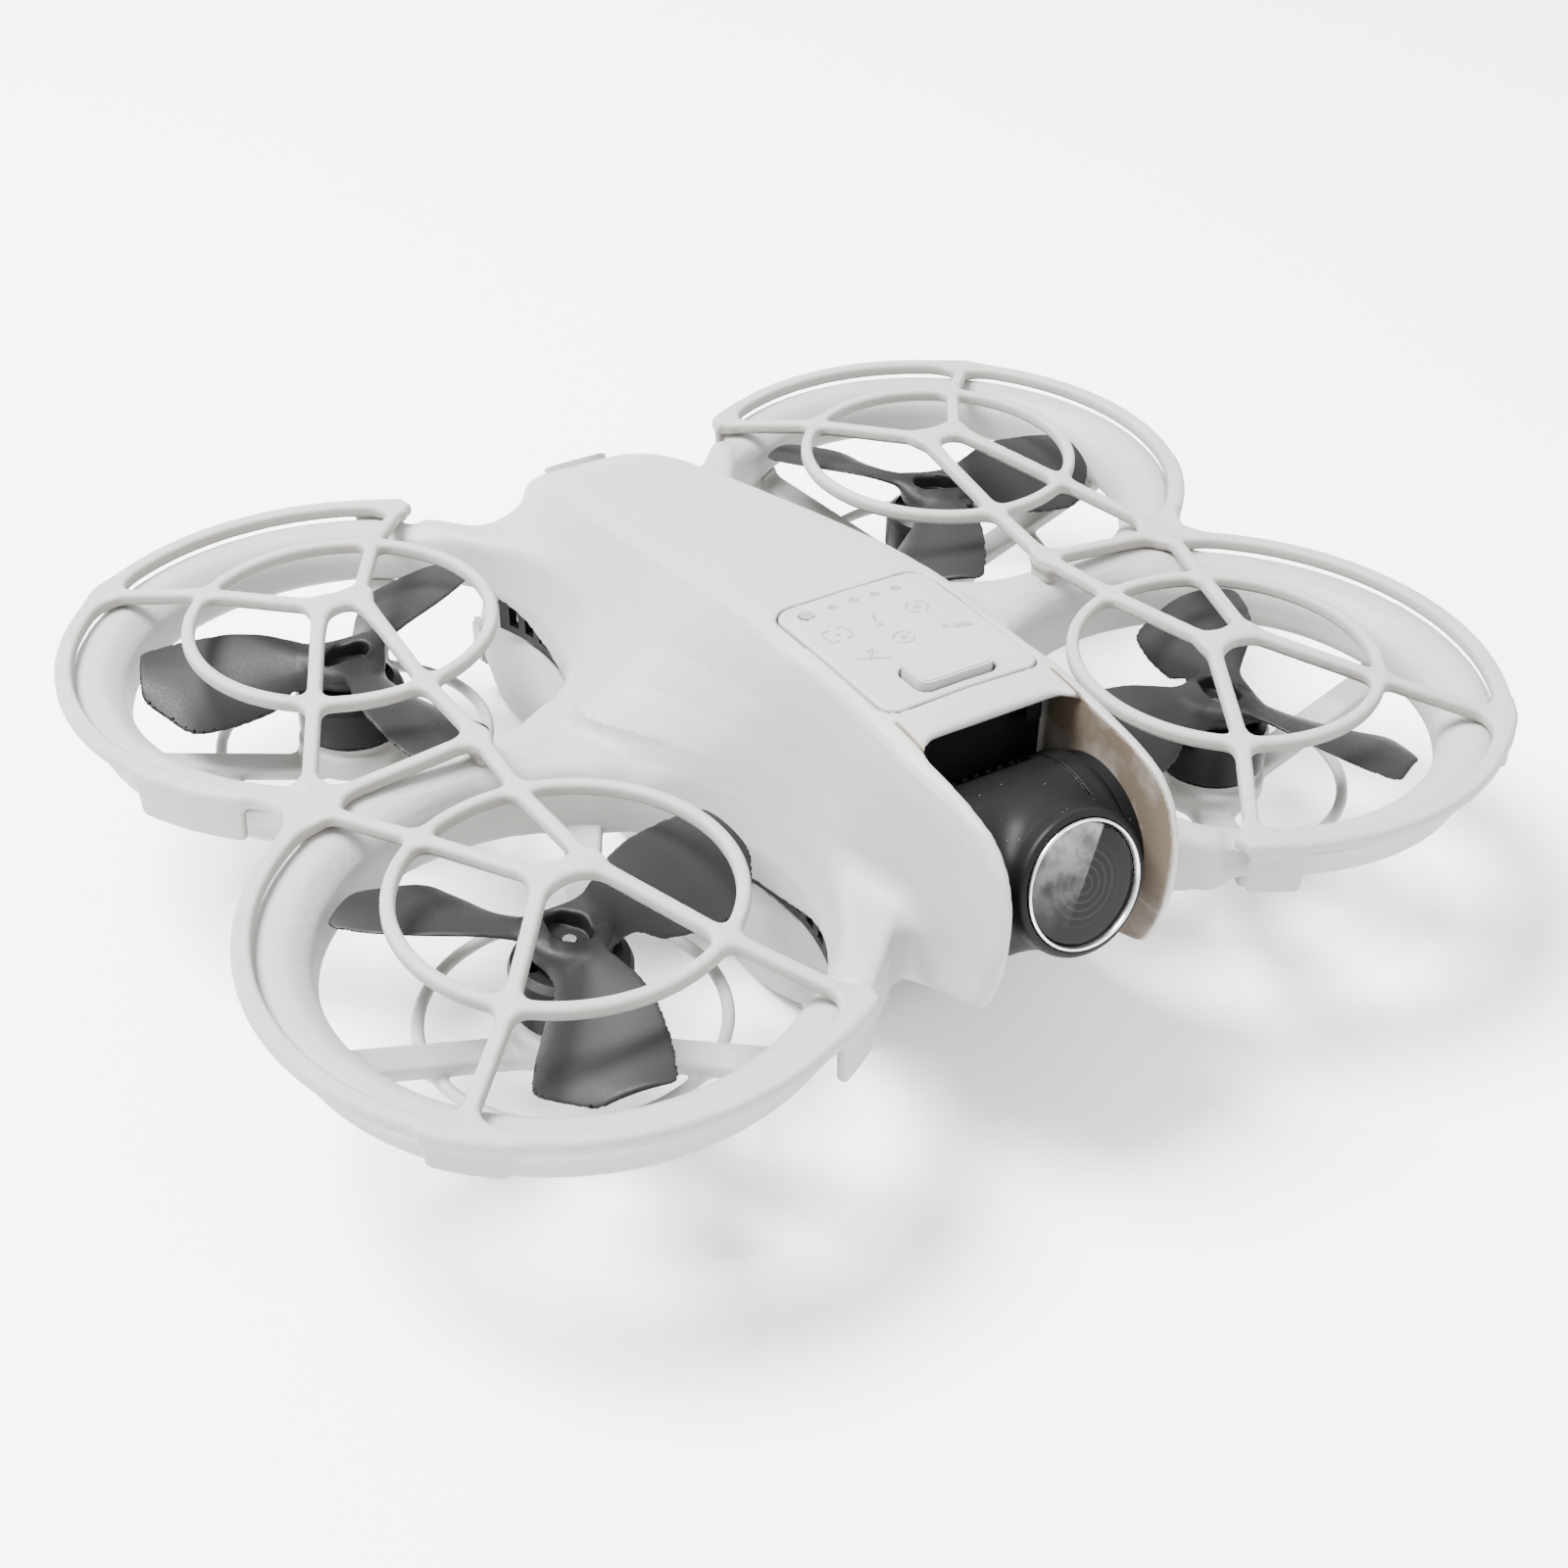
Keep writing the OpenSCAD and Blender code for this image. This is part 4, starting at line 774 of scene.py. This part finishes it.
def white_shell():
    """The body's white, with its painted parting lines and painted shade, a dark tan, on the inner faces of
    the ears.
    """
    m, nt, bsdf, base = moulded("shell_white", (0.285, 0.279, 0.269, 1), (0.265, 0.259, 0.249, 1))
    mm = here(nt)
    x, y, z = axes(nt, mm)
    ax, ay = math_node(nt, "ABSOLUTE", x), math_node(nt, "ABSOLUTE", y)
    dx, dy = math_node(nt, "SUBTRACT", ax, MOTOR_X), math_node(nt, "SUBTRACT", ay, MOTOR_Y)
    rho = distance(nt, dx, dy)
    # parting line round the inside of each duct
    line = math_node(nt, "ABSOLUTE", math_node(nt, "SUBTRACT", z, 22.9))
    line = times(nt, ramp(nt, line, 0.16, 0.05), ramp(nt, rho, 27.3, 27.1))
    # painted shade: a dark tan on the inner faces of the ears, made patchy by a grain
    inner = times(nt, ramp(nt, ax, 10.35, 10.2), ramp(nt, y, -38.6, -39.2))
    inner = times(nt, inner, ramp(nt, ax, 9.75, 9.95))
    patch_grain = grain(nt, mm, 0.12, 3.0, 0.6)
    with_ear_shade = mix(nt, times(nt, inner, ramp(nt, patch_grain, 0.0, 0.5)), base, (0.075, 0.058, 0.042, 1))
    # parting line across the ears' noses
    nose = math_node(nt, "ABSOLUTE", math_node(nt, "SUBTRACT", z, 28.0))
    nose = times(nt, ramp(nt, nose, 0.12, 0.04), ramp(nt, y, -51.5, -52.5))
    both_lines = math_node(nt, "MAXIMUM", times(nt, line, 0.55), times(nt, nose, 0.3))
    seam = mix(nt, both_lines, with_ear_shade, (0.30, 0.27, 0.23, 1))
    nt.links.new(seam, bsdf.inputs["Base Color"])
    return m


def white_guard():
    return moulded("guard_white", (0.28, 0.269, 0.253, 1), (0.255, 0.244, 0.229, 1), rough=0.62,
        texture=0.6, speck=0.5, spec=0.32, size=1.9)[0]


def white_inner():
    return moulded("frame_white", (0.265, 0.259, 0.248, 1), (0.24, 0.233, 0.221, 1), rough=0.55,
        texture=0.4)[0]


def grey_blade():
    """Near-black plastic, with a painted sheen: a little paler where it is seen edge on."""
    m, nt, bsdf, base = moulded("propeller_grey", (0.0085, 0.0085, 0.009, 1), (0.011, 0.011, 0.0115, 1),
        rough=0.5, texture=0.22, speck=0.2, spec=0.16, size=3.2)
    # painted sheen: paler base colour towards a grazing view
    edge = node(nt, "ShaderNodeLayerWeight", {"Blend": 0.25}).outputs["Facing"]
    pale = mix(nt, times(nt, ramp(nt, edge, 0.6, 1.0), 0.12), base, (0.06, 0.06, 0.062, 1))
    nt.links.new(pale, bsdf.inputs["Base Color"])
    return m


def black_plastic(name, tone, rough, speck=0.0):
    """Satin black with worn patches, and pale dust specks where speck is above 0."""
    m, nt, bsdf = tree(name)
    mm = here(nt)
    fine = grain(nt, mm, 4.0, 3.0, 0.6)
    cloud = grain(nt, mm, 0.22, 3.0, 0.6)
    dust = node(nt, "ShaderNodeTexVoronoi", {"Vector": mm, "Scale": 1.3}, feature="F1")
    pick = ramp(nt, node(nt, "ShaderNodeSeparateXYZ", {0: dust.outputs["Color"]}).outputs[0], 0.86, 0.9)
    spots = times(nt, times(nt, ramp(nt, dust.outputs[0], 0.10, 0.04), pick), speck)
    patch_grain = ramp(nt, grain(nt, mm, 0.7, 5.0, 0.7), 0.62, 0.70)
    worn = (tone * 2.2, tone * 2.1, tone * 2.0, 1)
    base = mix(nt, times(nt, patch_grain, 0.2), (tone, tone, tone * 1.05, 1), worn)
    base = mix(nt, spots, base, (0.35, 0.33, 0.30, 1))
    nt.links.new(base, bsdf.inputs["Base Color"])
    uneven(nt, bsdf, cloud, rough - 0.05, rough + 0.14)
    bsdf.inputs["Specular IOR Level"].default_value = 0.1
    bump(nt, bsdf, fine, 0.25, 0.03)
    return m


def metal(name, colour, rough=0.25):
    """Metal with faint level streaks."""
    m, nt, bsdf = tree(name)
    mm = here(nt)
    stretch = node(nt, "ShaderNodeVectorMath", {0: mm, 1: (1.0, 1.0, 9.0)}, operation="MULTIPLY").outputs[0]
    lines = grain(nt, stretch, 3.0, 3.0, 0.6)
    base = mix(nt, ramp(nt, lines, 0.3, 0.7), colour, tuple(c * 0.82 for c in colour[:3]) + (1,))
    nt.links.new(base, bsdf.inputs["Base Color"])
    uneven(nt, bsdf, lines, rough - 0.06, rough + 0.10)
    bsdf.inputs["Metallic"].default_value = 1.0
    bump(nt, bsdf, lines, 0.1, 0.02)
    return m


def lens_glass():
    """Dark coated glass: faint rings round the axis and the pale sheen of a soft box across one half."""
    m, nt, bsdf = tree("lens_glass")
    mm = here(nt)
    x, y, z = axes(nt, mm)
    c, s = math.cos(math.radians(TILT_REST)), math.sin(math.radians(TILT_REST))
    up = math_node(nt, "ADD", times(nt, y, s), times(nt, z, c))
    up = math_node(nt, "SUBTRACT", up, s * TILT_Y + c * TILT_Z)
    radius = distance(nt, x, up)
    wave = math_node(nt, "SINE", times(nt, radius, 7.2))
    bands = times(nt, ramp(nt, wave, 0.55, 1.0), ramp(nt, radius, 5.0, 3.6))
    dark = mix(nt, bands, (0.0012, 0.0012, 0.0014, 1), (0.012, 0.012, 0.013, 1))
    # painted reflection of a soft box: one half of the glass paler, made blotchy by a grain
    sheen_blotches = grain(nt, mm, 0.5, 3.0, 0.5)
    side = math_node(nt, "SUBTRACT", times(nt, up, 0.53), times(nt, x, 0.85))
    sheen = times(nt, ramp(nt, side, -0.12, 0.12), ramp(nt, up, -5.5, 8.5))
    sheen = times(nt, sheen, ramp(nt, sheen_blotches, 0.0, 0.6))
    sheen = times(nt, sheen, sheen)
    base = mix(nt, sheen, dark, (0.30, 0.30, 0.31, 1))
    nt.links.new(base, bsdf.inputs["Base Color"])
    bsdf.inputs["Specular IOR Level"].default_value = 0.12
    bsdf.inputs["Roughness"].default_value = 0.08
    return m


def optic_black():
    """Glossy black steps with paler edges, round the lens axis."""
    m, nt, bsdf = tree("optic_black")
    fine = grain(nt, here(nt), 3.0, 3.0, 0.6)
    edge = ramp(nt, node(nt, "ShaderNodeNewGeometry").outputs["Pointiness"], 0.52, 0.6)
    base = mix(nt, edge, (0.003, 0.003, 0.0035, 1), (0.05, 0.05, 0.055, 1))
    bsdf.inputs["Specular IOR Level"].default_value = 0.2
    nt.links.new(base, bsdf.inputs["Base Color"])
    uneven(nt, bsdf, fine, 0.18, 0.32)
    bump(nt, bsdf, fine, 0.08, 0.02)
    return m


def board_green():
    m, nt, bsdf = tree("board_green")
    mm = here(nt)
    cells = node(nt, "ShaderNodeTexBrick", {"Vector": mm, "Scale": 0.6, "Color1": (0.012, 0.09, 0.035, 1),
        "Color2": (0.02, 0.13, 0.05, 1), "Mortar": (0.05, 0.18, 0.08, 1), "Mortar Size": 0.03}).outputs[0]
    fine = grain(nt, mm, 2.5)
    base = mix(nt, ramp(nt, fine, 0.45, 0.75), cells, (0.03, 0.12, 0.05, 1))
    nt.links.new(base, bsdf.inputs["Base Color"])
    bsdf.inputs["Roughness"].default_value = 0.38
    bump(nt, bsdf, fine, 0.3, 0.03)
    return m


def amber_film():
    m, nt, bsdf = tree("flex_amber")
    values = {"Vector": here(nt), "Scale": 1.6, "Distortion": 0.4}
    wave = node(nt, "ShaderNodeTexWave", values, bands_direction="X").outputs[0]
    base = mix(nt, ramp(nt, wave, 0.35, 0.6), (0.20, 0.08, 0.015, 1), (0.36, 0.17, 0.04, 1))
    nt.links.new(base, bsdf.inputs["Base Color"])
    bsdf.inputs["Roughness"].default_value = 0.3
    bump(nt, bsdf, wave, 0.2, 0.03)
    return m


def light_window():
    m, nt, bsdf = tree("light_window")
    fine = grain(nt, here(nt), 4.0)
    base = mix(nt, ramp(nt, fine, 0.3, 0.7), (0.17, 0.164, 0.155, 1), (0.20, 0.194, 0.184, 1))
    nt.links.new(base, bsdf.inputs["Base Color"])
    bsdf.inputs["Roughness"].default_value = 0.3
    bump(nt, bsdf, fine, 0.1, 0.02)
    return m


def print_grey():
    m, nt, bsdf = tree("print_grey")
    fine = grain(nt, here(nt), 5.0)
    base = mix(nt, ramp(nt, fine, 0.4, 0.75), (0.17, 0.166, 0.158, 1), (0.20, 0.195, 0.186, 1))
    nt.links.new(base, bsdf.inputs["Base Color"])
    bsdf.inputs["Roughness"].default_value = 0.5
    return m


def floor_paint():
    m, nt, bsdf = tree("floor_pale")
    cloud = grain(nt, here(nt), 0.01, 2.0)
    base = mix(nt, cloud, (0.96, 0.96, 0.96, 1), (0.97, 0.97, 0.97, 1))
    nt.links.new(base, bsdf.inputs["Base Color"])
    bsdf.inputs["Roughness"].default_value = 0.8
    bsdf.inputs["Specular IOR Level"].default_value = 0.2
    return m


def paint(obj, material):
    obj.data.materials.clear()
    obj.data.materials.append(material)
    for p in obj.data.polygons:
        p.material_index = 0


# ---- making the pieces ----

MAT = {"shell": white_shell(), "guard": white_guard(), "frame": white_inner(), "blade": grey_blade(),
    "black": black_plastic("camera_black", 0.004, 0.42, 0.4),
    "motor": black_plastic("motor_black", 0.005, 0.34),
    "trim": black_plastic("trim_black", 0.006, 0.5),
    "steel": metal("steel", (0.55, 0.55, 0.56, 1)),
    "ring": metal("lens_silver", (0.72, 0.72, 0.72, 1), 0.18),
    "glass": lens_glass(), "optic": optic_black(), "board": board_green(),
    "alloy": metal("sink_alloy", (0.5, 0.51, 0.53, 1), 0.4),
    "gold": metal("contact_gold", (0.75, 0.55, 0.22, 1), 0.3),
    "amber": amber_film(), "window": light_window(), "print": print_grey()}


def upper_body():
    obj = make("body_shell", surface(body_field, (-80, -66, 15), (80, 66, 50), 0.52))
    paint(obj, MAT["shell"])
    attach(obj, "frame")
    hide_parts("upper_shell", "duct_fl", "duct_fr", "duct_rl", "duct_rr")


def lower_body():
    obj = make("body_tub", surface(lower_field, (-20, -40, -1), (20, 52, 18), 0.5))
    paint(obj, MAT["shell"])
    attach(obj, "frame")
    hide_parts("lower_shell")


def battery():
    obj = make("battery_body", surface(pack_field, (-20, -4, -1), (20, 60, 18), 0.45))
    paint(obj, MAT["shell"])
    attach(obj, "battery")
    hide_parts("battery_pack")


def spiders():
    skin = surface(spider_field, (-19, -26, 11), (31, 26, 23), 0.4)
    for which in CORNERS:
        obj = make("motor_frame_" + which, skin, to_corner(which))
        paint(obj, MAT["frame"])
        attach(obj, "frame")
        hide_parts("spider_" + which)


def guards():
    skin = surface(guard_field, (8, -66, 22), (80, 66, 37), 0.4)
    for side, flip in (("left", 1), ("right", -1)):
        obj = make("guard_net_" + side, skin, Matrix.Diagonal((flip, 1, 1, 1)))
        paint(obj, MAT["guard"])
        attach(obj, "guard_" + side)
        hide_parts("guard_" + side)


def propellers():
    skin = surface(propeller_field, (-26, -26, 20), (26, 26, 31), 0.3)
    for which in CORNERS:
        obj = make("blades_" + which, skin, to_corner(which, TURNS[which]))
        paint(obj, MAT["blade"])
        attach(obj, "rotor_" + which)
        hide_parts("propeller_" + which)


def panel():
    obj = make("top_panel", surface(panel_field, (-10.5, -38.2, 44.5), (10.5, -13.6, 48.4), 0.3))
    paint(obj, MAT["shell"])
    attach(obj, "frame")
    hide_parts("control_panel")
    obj = make("panel_marks", surface(marks_field, (-8.2, -29.8, 45.4), (8.6, -19.4, 47.8), 0.1))
    paint(obj, MAT["print"])
    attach(obj, "frame")


def camera_parts():
    obj = make("camera_barrel", surface(barrel_field, (-11, -62, 20), (10, -37, 44), 0.22))
    paint(obj, MAT["black"])
    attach(obj, "camera")
    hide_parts("camera_drum")
    lens_parts()


def at_nose(profile):
    """Radius and height, with the height counted from the camera's nose."""
    return [(r, NOSE + up) for r, up in profile]


def lens_parts():
    """Silver ring, domed front glass and stepped rings behind it, turned about the lens axis."""
    axis = (Matrix.Translation((0, TILT_Y, TILT_Z)) @ Matrix.Rotation(math.radians(-TILT_REST), 4, "X")
        @ Matrix.Rotation(math.radians(90), 4, "X"))
    ring = at_nose([(6.6, -0.66), (7.08, -0.66), (7.1, 0.12), (7.02, 0.28), (6.9, 0.33), (6.8, 0.28),
        (6.74, 0.1), (6.6, -0.2), (6.6, -0.66)])
    glass = at_nose([(0.0, -1.15), (6.3, -1.15), (6.5, -1.0)])
    for degrees in range(90, -1, -6):
        a = math.radians(degrees)
        glass.append((6.5 * math.sin(a), NOSE - 0.3 + 0.16 * math.cos(a)))
    steps = at_nose([(0.0, -5.4), (6.4, -5.4), (6.42, -1.35), (6.0, -1.4), (5.85, -1.7), (5.2, -1.8),
        (5.1, -2.3), (4.55, -2.35), (4.45, -2.8), (3.9, -2.85), (3.8, -3.25), (3.2, -3.3), (3.0, -3.05),
        (2.2, -2.7), (1.2, -2.5), (0.0, -2.42)])
    rows = [("lens_bezel", ring, "ring", "lens_silver", "lens_ring"),
        ("lens_front", glass, "glass", "lens_glass", "lens_glass"),
        ("lens_steps", steps, "optic", "camera_black", "lens_stack")]
    for name, points, kind, slot, old in rows:
        obj = make(name, turned(points), axis)
        paint(obj, MAT[kind])
        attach(obj, "camera")
        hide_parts(old)


def cad_finishes():
    """Materials for the CAD nodes that stay in view or inside."""
    rows = {"shell": ["mode_button", "power_button", "battery_latch_left", "battery_latch_right"],
        "motor": [kind + which for kind in ("motor_base_", "motor_bell_") for which in CORNERS],
        "steel": ["motor_shaft_" + which for which in CORNERS]
            + ["tilt_pin", "shell_screws", "motor_screws", "usb_port"],
        "trim": ["vent_left", "vent_right", "gimbal_bracket", "down_camera", "range_sensor"],
        "black": ["tilt_motor"],
        "board": ["main_board"],
        "alloy": ["heat_sink"],
        "gold": ["battery_contacts"],
        "amber": ["flex_cable", "antenna_left", "antenna_right"],
        "window": ["status_lights"]}
    for kind, names in rows.items():
        for name in names:
            paint(CAD[name], MAT[kind])


# ---- floor, lights and camera ----

def floor():
    verts = [(-3, -3, 0), (3, -3, 0), (3, 3, 0), (-3, 3, 0)]
    mesh = bpy.data.meshes.new("floor")
    mesh.from_pydata(verts, [], [(0, 1, 2, 3)])
    obj = bpy.data.objects.new("floor", mesh)
    obj.location = (0, 0, -0.0002)
    bpy.context.scene.collection.objects.link(obj)
    paint(obj, floor_paint())


def lamp(name, place, size, watts):
    """A round soft light that looks at the middle of the drone."""
    data = bpy.data.lights.new(name, "AREA")
    data.shape, data.size, data.energy = "DISK", size, watts
    obj = bpy.data.objects.new(name, data)
    obj.location = place
    obj.rotation_euler = (Vector((0, 0, 0.02)) - Vector(place)).to_track_quat("-Z", "Y").to_euler()
    bpy.context.scene.collection.objects.link(obj)


def lights():
    lamp("key", (-0.35, 0.25, 0.85), 0.5, 54.0)
    lamp("front", (0.45, -0.75, 0.55), 0.5, 5.0)
    world = bpy.data.worlds.new("studio")
    bpy.context.scene.world = world
    world.use_nodes = True
    back = world.node_tree.nodes["Background"]
    back.inputs[0].default_value = (1, 1, 1, 1)
    back.inputs[1].default_value = 2.3


def camera():
    """The photo's view, fitted; the picture is turned by a little over one degree."""
    eye, aim = Vector((-0.1179, -0.1898, 0.1742)), Vector((-0.01515, -0.0257, 0.0325))
    data = bpy.data.cameras.new("view")
    data.lens, data.sensor_width, data.clip_start = 49.88, 36, 0.005
    obj = bpy.data.objects.new("view", data)
    back = (eye - aim).normalized()
    right = Vector((0, 0, 1)).cross(back).normalized()
    up = back.cross(right)
    roll = math.radians(1.05)
    right = right * math.cos(roll) + up * math.sin(roll)
    up = back.cross(right)
    obj.matrix_world = Matrix.Translation(eye) @ Matrix((right, up, back)).transposed().to_4x4()
    bpy.context.scene.collection.objects.link(obj)
    bpy.context.scene.camera = obj


camera()
upper_body()
lower_body()
battery()
spiders()
guards()
propellers()
camera_parts()
panel()
cad_finishes()
floor()
lights()
